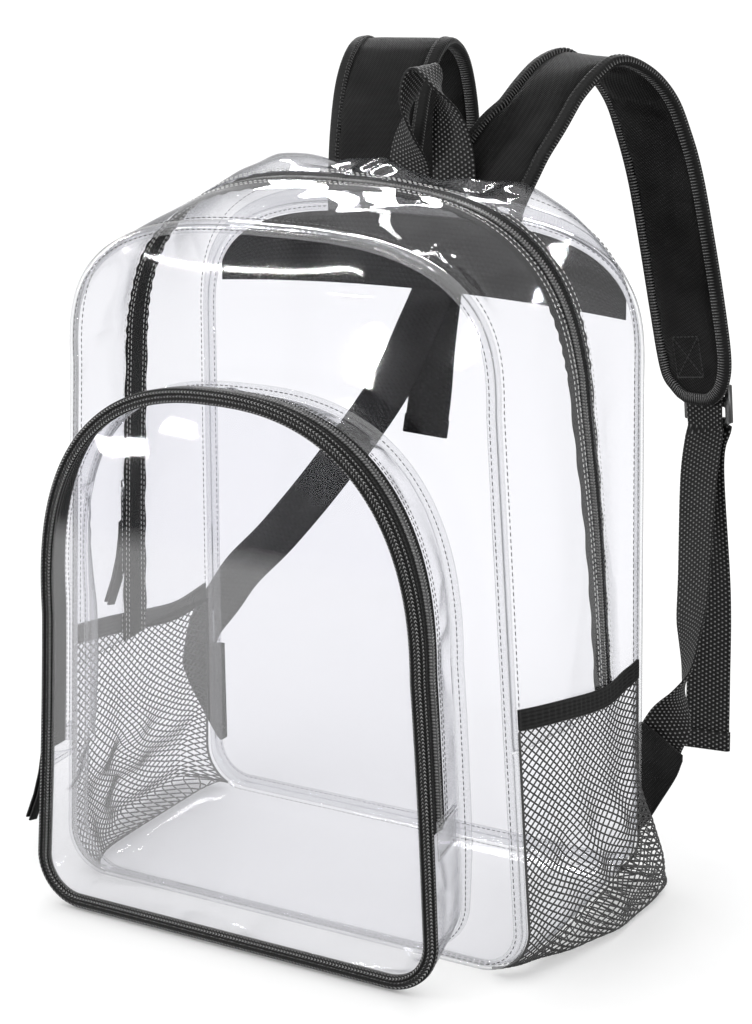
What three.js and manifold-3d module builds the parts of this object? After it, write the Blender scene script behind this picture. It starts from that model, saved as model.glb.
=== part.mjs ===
// A clear vinyl backpack with black trim, standing empty on its base.
// Millimetres. +X is the viewer's right when looking at the front, +Y goes to the back, +Z is up.
// The origin is on the floor under the middle of the main compartment.

import * as THREE from 'three';
import { mergeVertices } from 'three/addons/utils/BufferGeometryUtils.js';
import Module from 'manifold-3d';

// Main compartment
const mainHeight = 425; // floor to the top of the front panel
const mainHalf = 160; // half the front panel's width at its lower corners
const mainDepth = 172; // front panel to back panel
const seamLift = 7; // how far the front panel's lower edge is above the floor
const lean = 7; // how far the front panel has slumped to the right
const lowerCorner = 26; // radius of the main compartment's lower corners
const wall = 1.2; // clear vinyl
const gap = 0.35; // between neighbouring pieces

// Main zip
const zipTape = 30; // width of the whole tape
const zipWindow = 13; // width of tape and coil left showing between the gussets
const tapeThick = 1.0;
const tapeGap = 0.95; // the tape lies this far under the vinyl that is sewn over its edges
const coilHalf = 3.0;
const coilRise = 2.4;
const zipFoot = 137; // height of the main zip's two lower ends
const endCut = 0.0006; // a share of the outline left open between pieces that meet at a zip's end

// Bindings and back yoke
const bindWide = 4; // how far a clear seam binding reaches over each side of its seam
const bindThick = 1.8;
const yokeTall = 46;
const yokeDip = 8; // how far the yoke's lower edge drops towards its ends
const yokeThick = 1.3;
const frontBow = 4; // how far the front panel's middle stands out of its flat edges
const backBow = 5;

// Front pocket
const pocketHeight = 338;
const pocketHalf = 140;
const pocketDepth = 42; // pocket face to front panel
const pocketCorner = 30;
const pocketDrift = 7; // how far the pocket has slumped to the left
const pocketSway = 3.4; // and how much less at half its height
const pocketBow = 3; // how far the face's middle stands out of its binding
const pipingWide = 7; // the black binding's width on the face
const pipingDeep = 5.5;
const pipingRound = 0.8; // how much the binding's outer edge is rounded
const pocketTape = 16;
const pocketZipFoot = 98;
const coilSunk = 0.6; // how much of the coil's height stands out of the pocket's tape
const flangeWide = 8;
const flangeThick = 0.9;
const tabLap = 8; // how far each clear end tab reaches over the gusset behind the zip
const tabSpan = 0.042; // its length as a share of the outline

// Side pockets of net
const netTop = 166; // the elastic's top edge at the front seam
const netThick = 1.2;
const netStrand = 3.2;
const netColumns = 6;
const netRows = 5;
const netBulge = 22; // how far the net stands out, low down at the back
const elasticTall = 12;
const elasticThick = 1.8;
const netClear = 1.3; // between the net and the clear side
const netToe = 3; // how far the net's lower edge stays above the floor

// Shoulder straps, handle and webbing
const strapWide = 62;
const strapThick = 8;
const strapRise = 105; // from the back seam to the crest
const strapReach = 110; // how far the straps stand out behind the back panel
const webWide = 30;
const webThick = 1.6;
const handleWide = 30;
const handleThick = 1.9;
const handleRise = 92;
const tabThick = 2.0;
const tabReach = { right: 24, left: 36 };
const tabHigh = 101;

// Ladder-lock buckles
const buckleWide = 38;
const buckleTall = 25;
const buckleThick = 4;
const buckleRail = 3.4;
const buckleLap = 12; // how far the buckle lies behind the strap's end
const loopLap = 14;

// Zip sliders
const sliderWide = 9;
const sliderLong = 12;
const sliderThick = 3.2;
const bailRise = 3.6;
const bailWide = 2;
const bailThick = 1.2;
const pullWide = 7.4;
const pullLong = 24;
const pullThick = 1.3;
const pullRail = 1.5; // width of the metal round the pull's two windows
const pullWindow = 6; // length of the window that the slider's bail passes through
const ribbonWide = 8;
const ribbonThick = 1.1;
const ribbonLong = 55;
const ribbonLean = 6; // how far the ribbon's loose end stands away from the bag
const ribbonDrift = 8; // and how far it hangs forward
const mainSliderHigh = 236;
const pocketSliderHigh = 128;

const frontY = -mainDepth / 2;
const backY = mainDepth / 2;
const faceY = frontY - pocketDepth;

// How the compartment's outline changes from front to back. depth is a share of mainDepth from the middle,
// crown, spring and floor are heights, low and high half widths, shift the slump to the right.
const mainSections = [
  { depth: -0.5, crown: 1.0, spring: 0.785, high: 0.888, low: 1.0, floor: 1.0, shift: 1.0, power: 2.9 },
  { depth: -0.4, crown: 1.015, spring: 0.787, high: 0.9, low: 1.012, floor: 0.3, shift: 0.9, power: 2.8 },
  { depth: -0.25, crown: 1.03, spring: 0.79, high: 0.912, low: 1.018, floor: 0.0, shift: 0.75, power: 2.6 },
  { depth: -0.05, crown: 1.043, spring: 0.79, high: 0.922, low: 1.022, floor: 0.0, shift: 0.5, power: 2.5 },
  { depth: 0.15, crown: 1.052, spring: 0.79, high: 0.94, low: 1.022, floor: 0.0, shift: 0.25, power: 2.5 },
  { depth: 0.32, crown: 1.052, spring: 0.785, high: 0.96, low: 1.018, floor: 0.0, shift: 0.0, power: 2.6 },
  { depth: 0.42, crown: 1.032, spring: 0.775, high: 0.972, low: 1.012, floor: 0.2, shift: -0.1, power: 2.8 },
  { depth: 0.47, crown: 1.004, spring: 0.765, high: 0.976, low: 1.006, floor: 0.45, shift: -0.15, power: 3 },
  { depth: 0.5, crown: 0.97, spring: 0.755, high: 0.975, low: 1.0, floor: 0.75, shift: -0.2, power: 3.2 },
];

// The front pocket's outline at its face and where it is sewn on: along is a share of pocketDepth.
const pocketSections = [
  { along: 0, crown: 1.0, spring: 0.56, high: 0.93, low: 1.0, floor: 0.0, power: 2.4 },
  { along: 0.5, crown: 0.991, spring: 0.56, high: 0.921, low: 0.982, floor: 0.45, power: 2.5 },
  { along: 1, crown: 0.973, spring: 0.56, high: 0.905, low: 0.958, floor: 1.0, power: 2.7 },
];

// Where the main zip runs: turn goes round the outline from the right (positive) over the crown to the left,
// depth is the coil's place as a share of mainDepth.
const zipRun = [
  { turn: 0.3, depth: 0.245 },
  { turn: 0.4, depth: 0.19 },
  { turn: 0.5, depth: 0.09 },
  { turn: 0.62, depth: 0.035 },
  { turn: 0.8, depth: 0.0 },
  { turn: 1.0, depth: -0.045 },
  { turn: 1.2, depth: -0.06 },
  { turn: 1.4, depth: -0.065 },
  { turn: 1.7, depth: -0.07 },
];

// Soft dents and swells of the compartment's walls. reach and rise are shares of mainDepth.
const dents = [
  { turn: 0.9, depth: 0.22, across: 0.05, reach: 0.11, rise: -0.045 },
  { turn: 0.78, depth: 0.3, across: 0.05, reach: 0.1, rise: 0.028 },
  { turn: -0.86, depth: 0.2, across: 0.08, reach: 0.16, rise: 0.03 },
  { turn: 0.72, depth: -0.32, across: 0.05, reach: 0.08, rise: -0.03 },
  { turn: 0.4, depth: -0.18, across: 0.1, reach: 0.16, rise: 0.022 },
  { turn: 0.38, depth: 0.34, across: 0.09, reach: 0.1, rise: -0.022 },
  { turn: -0.42, depth: 0.1, across: 0.12, reach: 0.2, rise: 0.03 },
  { turn: -0.6, depth: -0.3, across: 0.05, reach: 0.1, rise: -0.03 },
];

// How the net sags outwards: rise goes up its rows, high is a share of its height, out of netBulge.
const netSwell = [
  { rise: 0.0, high: 0.03, out: 0.0 },
  { rise: 0.1, high: 0.035, out: 1.42 },
  { rise: 0.2, high: 0.1, out: 1.12 },
  { rise: 0.3, high: 0.2, out: 0.84 },
  { rise: 0.4, high: 0.3, out: 0.6 },
  { rise: 0.5, high: 0.4, out: 0.39 },
  { rise: 0.6, high: 0.52, out: 0.21 },
  { rise: 0.7, high: 0.64, out: 0.1 },
  { rise: 0.8, high: 0.76, out: 0.05 },
  { rise: 1.0, high: 1.0, out: 0.02 },
];

// How much of that sag there is from the front seam to the back one, and where the columns are drawn to.
const netReach = [
  { across: 0.0, reach: 0.02, drawn: 0.0 },
  { across: 0.17, reach: 0.14, drawn: 0.14 },
  { across: 0.33, reach: 0.5, drawn: 0.29 },
  { across: 0.5, reach: 0.84, drawn: 0.47 },
  { across: 0.67, reach: 0.98, drawn: 0.66 },
  { across: 0.83, reach: 1.0, drawn: 0.86 },
  { across: 0.92, reach: 0.96, drawn: 0.985 },
  { across: 1.0, reach: 0.04, drawn: 1.0 },
];

// The elastic's top edge sags towards the back: depth is a share of mainDepth, high of netTop.
const elasticRun = [
  { depth: -0.5, high: 1.0 },
  { depth: -0.2, high: 0.945 },
  { depth: 0.1, high: 0.88 },
  { depth: 0.3, high: 0.855 },
  { depth: 0.5, high: 0.885 },
];

// Centre lines of the straps. out is a share of mainHalf, back of strapReach from the back panel,
// up of strapRise from the back seam, yaw turns the strap's width about the upright, in degrees.
const rightStrap = [
  { out: 0.237, back: 0.0755, up: -0.14, yaw: 0, wide: 1.0, thick: 0.5 },
  { out: 0.256, back: 0.086, up: 0.07, yaw: -2, wide: 1.0, thick: 0.65 },
  { out: 0.34, back: 0.16, up: 0.35, yaw: -8, wide: 1.0, thick: 1.0 },
  { out: 0.41, back: 0.24, up: 0.53, yaw: -14, wide: 1.0, thick: 1.0 },
  { out: 0.45, back: 0.36, up: 0.69, yaw: -18, wide: 1.0, thick: 1.0 },
  { out: 0.5, back: 0.48, up: 0.81, yaw: -18, wide: 1.0, thick: 1.0 },
  { out: 0.56, back: 0.6, up: 0.85, yaw: -18, wide: 1.0, thick: 1.0 },
  { out: 0.625, back: 0.745, up: 0.76, yaw: -18, wide: 1.0, thick: 1.0 },
  { out: 0.675, back: 0.86, up: 0.6, yaw: -18, wide: 1.0, thick: 1.0 },
  { out: 0.714, back: 0.92, up: 0.39, yaw: -18, wide: 1.0, thick: 1.0 },
  { out: 0.76, back: 0.945, up: 0.13, yaw: -18, wide: 1.0, thick: 1.0 },
  { out: 0.812, back: 0.955, up: -0.25, yaw: -18, wide: 1.0, thick: 1.0 },
  { out: 0.864, back: 0.955, up: -0.65, yaw: -18, wide: 1.0, thick: 1.0 },
  { out: 0.9, back: 0.955, up: -0.95, yaw: -18, wide: 0.97, thick: 1.0 },
  { out: 0.917, back: 0.95, up: -1.1, yaw: -18, wide: 0.84, thick: 0.95 },
  { out: 0.923, back: 0.95, up: -1.19, yaw: -18, wide: 0.58, thick: 0.85 },
  { out: 0.925, back: 0.95, up: -1.23, yaw: -18, wide: 0.34, thick: 0.75 },
];
const leftStrap = [
  { out: -0.225, back: 0.0755, up: -0.12, yaw: 0, wide: 1.0, thick: 0.5 },
  { out: -0.225, back: 0.086, up: 0.07, yaw: 3, wide: 1.0, thick: 0.65 },
  { out: -0.23, back: 0.155, up: 0.4, yaw: 10, wide: 1.0, thick: 1.0 },
  { out: -0.25, back: 0.29, up: 0.69, yaw: 15, wide: 1.0, thick: 1.0 },
  { out: -0.27, back: 0.47, up: 0.86, yaw: 17, wide: 1.0, thick: 1.0 },
  { out: -0.282, back: 0.66, up: 0.89, yaw: 17, wide: 1.0, thick: 1.0 },
  { out: -0.294, back: 0.85, up: 0.76, yaw: 17, wide: 1.0, thick: 1.0 },
  { out: -0.306, back: 0.98, up: 0.47, yaw: 17, wide: 1.0, thick: 1.0 },
  { out: -0.316, back: 1.04, up: 0.12, yaw: 16, wide: 1.0, thick: 1.0 },
  { out: -0.318, back: 1.045, up: -0.12, yaw: 12, wide: 1.0, thick: 1.0 },
  { out: -0.318, back: 1.045, up: -0.22, yaw: 12, wide: 0.97, thick: 1.0 },
  { out: -0.316, back: 1.045, up: -0.36, yaw: 12, wide: 0.84, thick: 0.95 },
  { out: -0.315, back: 1.045, up: -0.45, yaw: 12, wide: 0.58, thick: 0.85 },
  { out: -0.314, back: 1.045, up: -0.49, yaw: 12, wide: 0.34, thick: 0.75 },
];

// The lower webbing from its sewn end on the anchor tab up towards the buckle, and its loose tail from the
// buckle down. high is a share of mainHeight. The right one is given half a twist on its way up.
const rightWeb = [
  { out: 1.038, back: 0.09, high: 0.183, yaw: 12 },
  { out: 1.052, back: 0.098, high: 0.207, yaw: 14 },
  { out: 1.078, back: 0.14, high: 0.236, yaw: 42 },
  { out: 1.097, back: 0.22, high: 0.27, yaw: 90 },
  { out: 1.098, back: 0.315, high: 0.306, yaw: 121 },
  { out: 1.0725, back: 0.42, high: 0.357, yaw: 138 },
  { out: 1.034, back: 0.58, high: 0.4205, yaw: 150 },
  { out: 0.975, back: 0.81, high: 0.555, yaw: 159 },
];
const rightTail = [
  { out: 0.947, back: 1.0, high: 0.57, yaw: -14 },
  { out: 0.989, back: 0.975, high: 0.37, yaw: -2 },
  { out: 0.998, back: 0.96, high: 0.23, yaw: 4 },
  { out: 1.003, back: 0.95, high: 0.119, yaw: 6 },
];
const leftWeb = [
  { out: -1.155, back: 0.132, high: 0.165, yaw: 166 },
  { out: -1.155, back: 0.14, high: 0.198, yaw: 166 },
  { out: -1.13, back: 0.18, high: 0.25, yaw: 170 },
  { out: -1.05, back: 0.23, high: 0.3, yaw: 182 },
  { out: -0.98, back: 0.3, high: 0.345, yaw: 188 },
  { out: -0.85, back: 0.43, high: 0.405, yaw: 190 },
  { out: -0.66, back: 0.62, high: 0.51, yaw: 192 },
  { out: -0.46, back: 0.83, high: 0.64, yaw: 192 },
  { out: -0.37, back: 0.98, high: 0.74, yaw: 192 },
];
const leftTail = [
  { out: -0.33, back: 1.07, high: 0.71, yaw: 14 },
  { out: -0.35, back: 1.06, high: 0.62, yaw: 16 },
  { out: -0.37, back: 1.045, high: 0.555, yaw: 18 },
];

// The anchor tab from its sewn edge outwards: out and back are shares of tabReach, low and high of tabHigh.
const anchorRows = [
  { out: -0.12, back: 0.0, low: 0.32, high: 1.0 },
  { out: 0.05, back: 0.0, low: 0.31, high: 0.99 },
  { out: 0.5, back: 0.09, low: 0.5, high: 0.91 },
  { out: 0.85, back: 0.18, low: 0.66, high: 0.84 },
  { out: 1.0, back: 0.23, low: 0.77, high: 0.81 },
];

// The handle from the foot of its left leg over to its right one: shares of handleWide and handleRise.
const handleRows = [
  { across: -0.2, back: 0.0, up: -0.18, yaw: 0 },
  { across: -0.2, back: 0.0, up: 0.1, yaw: 0 },
  { across: -0.19, back: -0.01, up: 0.3, yaw: -8 },
  { across: -0.14, back: -0.06, up: 0.52, yaw: -45 },
  { across: -0.04, back: -0.09, up: 0.74, yaw: -80 },
  { across: 0.14, back: -0.1, up: 0.9, yaw: -90 },
  { across: 0.36, back: -0.1, up: 0.95, yaw: -90 },
  { across: 0.58, back: -0.08, up: 0.86, yaw: -75 },
  { across: 0.74, back: -0.04, up: 0.66, yaw: -30 },
  { across: 0.83, back: -0.01, up: 0.42, yaw: -6 },
  { across: 0.86, back: 0.0, up: 0.12, yaw: 0 },
  { across: 0.86, back: 0.0, up: -0.18, yaw: 0 },
];

const materials = {
  clear: { color: 0xe9ecf2, roughness: 0.12, metalness: 0, transparent: true, opacity: 0.35 },
  cloth: { color: 0x141414, roughness: 0.9, metalness: 0 },
  webbing: { color: 0x1a1a1a, roughness: 0.85, metalness: 0 },
  net: { color: 0x222222, roughness: 0.8, metalness: 0 },
  zip: { color: 0x161616, roughness: 0.6, metalness: 0 },
  plastic: { color: 0x121212, roughness: 0.4, metalness: 0 },
  metal: { color: 0x2a2a2c, roughness: 0.35, metalness: 0.9 },
};

const group = new THREE.Group();

function add(name, geometry, look, body = group) {
  const mesh = new THREE.Mesh(geometry, new THREE.MeshStandardMaterial(materials[look]));
  mesh.name = name;
  body.add(mesh);
  return mesh;
}

// Value of every column of a table at a place along its key column, eased between rows.
function read(table, key, at) {
  const last = table.length - 1;
  const x = Math.min(Math.max(at, table[0][key]), table[last][key]);
  let i = 0;
  while (i < last - 1 && x > table[i + 1][key]) i += 1;
  const a = table[i];
  const b = table[i + 1];
  const before = table[Math.max(i - 1, 0)];
  const after = table[Math.min(i + 2, last)];
  const span = b[key] - a[key];
  const s = (x - a[key]) / span;
  const row = {};
  for (const column of Object.keys(a)) {
    const rise = b[column] - a[column];
    const slopeA = i > 0 ? (b[column] - before[column]) / (b[key] - before[key]) : rise / span;
    const slopeB = i + 2 <= last ? (after[column] - a[column]) / (after[key] - a[key]) : rise / span;
    row[column] = (2 * s ** 3 - 3 * s ** 2 + 1) * a[column] + (s ** 3 - 2 * s ** 2 + s) * span * slopeA
      + (3 * s ** 2 - 2 * s ** 3) * b[column] + (s ** 3 - s ** 2) * span * slopeB;
  }
  return row;
}

// Where the four stretches of an outline end, as turn goes from 0 at the bottom's middle to 1 at the crown.
const endBottom = 0.12;
const endCorner = 0.22;
const endSide = 0.5;
const bottomSteps = 3;
const cornerSteps = 3;
const sideSteps = 5;
const archSteps = 10;
const foldSteps = 6;
const runSteps = 21;

function wrapped(turn) {
  if (turn > 1) return turn - 2;
  return turn < -1 ? turn + 2 : turn;
}

// A point of an arched outline: flat bottom, round lower corners, straight sides, square-shouldered arch.
function arched(shape, turn) {
  const t = Math.abs(wrapped(turn));
  const side = wrapped(turn) < 0 ? -1 : 1;
  const { low, high, floor, spring, crown, corner, power, shift, sway } = shape;
  let x;
  let z;
  if (t < endBottom) {
    x = (low - corner) * t / endBottom;
    z = floor;
  } else if (t < endCorner) {
    const a = (t - endBottom) / (endCorner - endBottom) * Math.PI / 2;
    x = low - corner + corner * Math.sin(a);
    z = floor + corner * (1 - Math.cos(a));
  } else if (t < endSide) {
    const s = (t - endCorner) / (endSide - endCorner);
    x = low + (high - low) * s;
    z = floor + corner + (spring - floor - corner) * s;
  } else {
    const a = (t - endSide) / (1 - endSide) * Math.PI / 2;
    const r = 1 / (Math.cos(a) ** power + Math.sin(a) ** power) ** (1 / power);
    x = high * r * Math.cos(a);
    z = spring + (crown - spring) * r * Math.sin(a);
  }
  return new THREE.Vector2(side * x + shift + sway * Math.sin(Math.PI * z / crown), z);
}

// The turns at which every outline is stepped, from one end to the other, both ends included.
function turns(from, to) {
  const half = [];
  for (let i = 0; i < bottomSteps; i += 1) half.push(endBottom * i / bottomSteps);
  for (let i = 0; i < cornerSteps; i += 1) half.push(endBottom + (endCorner - endBottom) * i / cornerSteps);
  for (let i = 0; i < sideSteps; i += 1) half.push(endCorner + (endSide - endCorner) * i / sideSteps);
  for (let i = 0; i < archSteps; i += 1) half.push(endSide + (1 - endSide) * i / archSteps);
  const all = [...half.slice(1).map((t) => -t), ...half, 1, ...half.slice(1).map((t) => 2 - t)];
  const clear = 0.012;
  const inside = all.filter((t) => t > from + clear && t < to - clear).sort((a, b) => a - b);
  return [from, ...inside, to];
}

const share = (x) => Math.min(1, Math.max(0, x));

function mainShape(depth) {
  const row = read(mainSections, 'depth', depth / mainDepth);
  return {
    crown: row.crown * mainHeight,
    spring: row.spring * mainHeight,
    high: row.high * mainHalf,
    low: row.low * mainHalf,
    floor: Math.max(0, row.floor) * seamLift,
    shift: row.shift * lean,
    sway: 0,
    power: row.power,
    corner: lowerCorner,
  };
}

// The compartment's outer surface at a turn and a depth y, before its dents.
function plainMain(turn, y) {
  const p = arched(mainShape(y), turn);
  return new THREE.Vector3(p.x, y, p.y);
}

function normalOf(surface, turn, y, step) {
  const du = surface(turn + step, y).sub(surface(turn - step, y));
  const dv = surface(turn, y + 1).sub(surface(turn, y - 1));
  return dv.cross(du).normalize();
}

// The compartment's outer surface, lifted by its dents and by a distance out of the wall.
function mainSkin(turn, y, out = 0) {
  const point = plainMain(turn, y);
  const nearSeam = share((mainDepth / 2 - Math.abs(y)) / (mainDepth * 0.12));
  const nearFloor = share((Math.abs(wrapped(turn)) - endBottom) / (endCorner - endBottom));
  let rise = 0;
  for (const dent of dents) {
    const du = (wrapped(turn) - dent.turn) / dent.across;
    const dv = (y / mainDepth - dent.depth) / dent.reach;
    rise += dent.rise * mainDepth * Math.exp(-(du * du + dv * dv) / 2) * nearSeam * nearFloor;
  }
  const normal = normalOf(plainMain, turn, y, 0.004);
  return point.addScaledVector(normal, rise + out);
}

function pocketShape(along) {
  const row = read(pocketSections, 'along', along);
  const rest = bindThick + gap;
  return {
    crown: row.crown * pocketHeight,
    spring: row.spring * pocketHeight,
    high: row.high * pocketHalf,
    low: row.low * pocketHalf,
    floor: rest + row.floor * (seamLift + bindWide + 3 * gap - rest),
    shift: -pocketDrift,
    sway: pocketSway,
    power: row.power,
    corner: pocketCorner,
  };
}

function plainPocket(turn, y) {
  const p = arched(pocketShape((y - faceY) / pocketDepth), turn);
  return new THREE.Vector3(p.x, y, p.y);
}

function pocketSkin(turn, y, out = 0) {
  return plainPocket(turn, y).addScaledVector(normalOf(plainPocket, turn, y, 0.004), out);
}

// How far a panel's face bows out at a place, if its middle bows out by most.
function bow(x, z, most, top) {
  const a = Math.max(0, 1 - (x / mainHalf) ** 2);
  const b = Math.sin(Math.PI * Math.min(1, Math.max(0, z / top)));
  return most * a * b;
}
const frontFace = (x, z) => frontY - wall - bow(x - lean, z, frontBow, mainHeight);
const backFace = (x, z) => backY + wall + bow(x, z, backBow, mainHeight * 0.83);

// Joins a row of like polygons into one closed body. profile is the polygon's flat form, for the two ends.
// paired splits the faces of a band's two sides along the same diagonals, so a twist leaves it as thick.
function loft(rows, profile, closed = false, paired = false) {
  const n = rows[0].length;
  const position = [];
  const index = [];
  for (const row of rows) for (const p of row) position.push(p.x, p.y, p.z);
  const spans = closed ? rows.length : rows.length - 1;
  for (let i = 0; i < spans; i += 1) {
    for (let j = 0; j < n; j += 1) {
      const a = i * n + j;
      const b = i * n + (j + 1) % n;
      const c = ((i + 1) % rows.length) * n + (j + 1) % n;
      const d = ((i + 1) % rows.length) * n + j;
      if (paired && j >= n / 2) index.push(a, b, d, b, c, d);
      else index.push(a, b, c, a, c, d);
    }
  }
  if (!closed) {
    const last = (rows.length - 1) * n;
    const [first, second] = THREE.ShapeUtils.isClockWise(profile) ? [last, 0] : [0, last];
    for (const [a, b, c] of THREE.ShapeUtils.triangulateShape(swollen(profile), [])) {
      index.push(first + a, first + c, first + b, second + a, second + b, second + c);
    }
  }
  const geometry = new THREE.BufferGeometry();
  geometry.setAttribute('position', new THREE.Float32BufferAttribute(position, 3));
  geometry.setIndex(index);
  return outward(geometry);
}

// A flat form with its straight runs bowed out, so that every point on them is a corner.
function swollen(profile) {
  const xs = profile.map((p) => p.x);
  const ys = profile.map((p) => p.y);
  const middle = (Math.max(...ys) + Math.min(...ys)) / 2;
  const [low, high] = [Math.min(...xs), Math.max(...xs)];
  return profile.map((p) => {
    const s = (p.x - low) / (high - low);
    return new THREE.Vector2(p.x, middle + (p.y - middle) * (1 + 0.2 * s * (1 - s)));
  });
}

// Turns every face of a closed body out, if they face in.
function outward(geometry) {
  const p = geometry.attributes.position;
  const index = geometry.index.array;
  const [a, b, c] = [new THREE.Vector3(), new THREE.Vector3(), new THREE.Vector3()];
  let volume = 0;
  for (let i = 0; i < index.length; i += 3) {
    a.fromBufferAttribute(p, index[i]);
    b.fromBufferAttribute(p, index[i + 1]);
    c.fromBufferAttribute(p, index[i + 2]);
    volume += a.dot(b.cross(c)) / 6;
  }
  if (volume < 0) {
    const flipped = [];
    for (let i = 0; i < index.length; i += 3) flipped.push(index[i], index[i + 2], index[i + 1]);
    geometry.setIndex(flipped);
  }
  return geometry;
}

// A flat rectangle's corners and steps, across in the first number and through the wall in the second.
function slabProfile(across) {
  const top = [];
  for (let i = 0; i <= across; i += 1) top.push(new THREE.Vector2(i / across, 1));
  return [...top, ...top.map((p) => new THREE.Vector2(p.x, 0)).reverse()];
}

// A strip of wall between two depths, stepped round the outline: depths give its edges at each turn.
function strip(skin, steps, across, depths, thick, closed = false) {
  const profile = slabProfile(across);
  const rows = steps.map((turn) => {
    const [from, to] = depths(turn);
    return profile.map((p) => skin(turn, from + (to - from) * p.x, (p.y - 1) * thick));
  });
  return loft(rows, profile, closed);
}

// A panel that fills an outline, stepped from the bottom up and across.
function panel(outline, face, thick, away, across = 4) {
  const profile = slabProfile(across);
  const steps = turns(endBottom, 1 - 0.5 / archSteps).filter((t) => t < 1 - 0.6 / archSteps);
  steps[steps.length - 1] = 1 - (1 - endSide) / archSteps;
  const rows = steps.map((turn, i) => profile.map((p) => {
    const span = p.x * 2 - 1;
    const right = outline(turn);
    const left = outline(-turn);
    let at = left.clone().lerp(right, p.x);
    if (i === steps.length - 1) at = outline(1 - (1 - turn) * span);
    const y = face(at.x, at.y);
    return new THREE.Vector3(at.x, y + (p.y - 1) * thick * away, at.y);
  }));
  return loft(rows, profile);
}

// A point of an outline moved out of it in its own plane.
function moved(outline, turn, out) {
  const d = outline(turn + 0.003).sub(outline(turn - 0.003)).normalize();
  const p = outline(turn);
  return new THREE.Vector2(p.x + d.y * out, p.y - d.x * out);
}

const ring = () => turns(-1, 1).slice(0, -1);
const zipTurn = (foot, shape, corner) => endCorner
  + (endSide - endCorner) * (foot - shape.floor - corner) / (shape.spring - shape.floor - corner);
const zipEnd = zipTurn(zipFoot, mainShape(0), lowerCorner);
const zipY = (turn) => read(zipRun, 'turn', turn).depth * mainDepth;

// Main compartment
function compartment() {
  const edge = [frontY + gap, backY - gap];
  add('base_gusset', strip(mainSkin, turns(-zipEnd + endCut, zipEnd - endCut), 7, () => edge, wall), 'clear');
  const over = turns(zipEnd + endCut, 2 - zipEnd - endCut);
  const frontStrip = (turn) => [edge[0], zipY(turn) - zipWindow / 2];
  const rearStrip = (turn) => [zipY(turn) + zipWindow / 2, edge[1]];
  add('zip_gusset_front', strip(mainSkin, over, 3, frontStrip, wall), 'clear');
  add('zip_gusset_rear', strip(mainSkin, over, 4, rearStrip, wall), 'clear');
  const under = -(wall + tapeGap);
  const profile = [
    [-zipTape / 2, under - tapeThick], [zipTape / 2, under - tapeThick], [zipTape / 2, under],
    [coilHalf, under], [coilHalf * 0.6, under + coilRise], [-coilHalf * 0.6, under + coilRise],
    [-coilHalf, under], [-zipTape / 2, under],
  ].map(([x, y]) => new THREE.Vector2(x, y));
  const rows = over.map((turn) => profile.map((p) => mainSkin(turn, zipY(turn) + p.x, p.y)));
  add('main_zip', loft(rows, profile), 'zip');
  const front = (turn) => arched(mainShape(frontY), turn);
  const back = (turn) => arched(mainShape(backY), turn);
  add('front_panel', panel(front, frontFace, wall, -1), 'clear');
  add('back_panel', panel(back, backFace, wall, 1), 'clear');
  add('front_seam_binding', binding(front, frontY, frontFace, -1), 'clear');
  add('back_seam_binding', binding(back, backY, backFace, 1), 'clear');
  add('back_yoke', yoke(back), 'webbing');
}

// A clear strip folded over the edge of a panel and the gusset beside it.
function binding(outline, y, face, away) {
  const lap = bindWide;
  const profile = [[0, 0], [0, 1], [1, 1], [2, 1], [2, 0], [1, 0]].map(([x, z]) => new THREE.Vector2(x, z));
  const rows = ring().map((turn) => {
    const side = (out) => mainSkin(turn, y - away * lap, out);
    const over = (inward, out) => {
      const p = moved(outline, turn, inward);
      return new THREE.Vector3(p.x, face(p.x, p.y) + away * out, p.y);
    };
    return [
      side(gap), side(gap + bindThick), over(gap + bindThick, gap + bindThick),
      over(-lap, gap + bindThick), over(-lap, gap), over(gap, gap),
    ];
  });
  return loft(rows, profile, true);
}

// The woven band across the top of the back panel, below the back seam binding.
function yoke(outline) {
  const crown = outline(1).y;
  const inset = bindWide + gap * 2;
  const foot = (x) => crown - inset - yokeTall - yokeDip * (x / mainHalf) ** 2;
  const tallAt = (turn) => {
    const top = moved(outline, turn, -inset);
    return top.y - foot(top.x);
  };
  let end = endSide;
  while (tallAt(end) < yokeTall * 0.25) end += 0.005;
  const profile = slabProfile(1);
  const rows = turns(end, 2 - end).map((turn) => profile.map((p) => {
    const top = moved(outline, turn, -inset);
    const z = foot(top.x) + (top.y - foot(top.x)) * p.x;
    return new THREE.Vector3(top.x, backFace(top.x, z) + gap + p.y * yokeThick, z);
  }));
  return loft(rows, profile);
}

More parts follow.
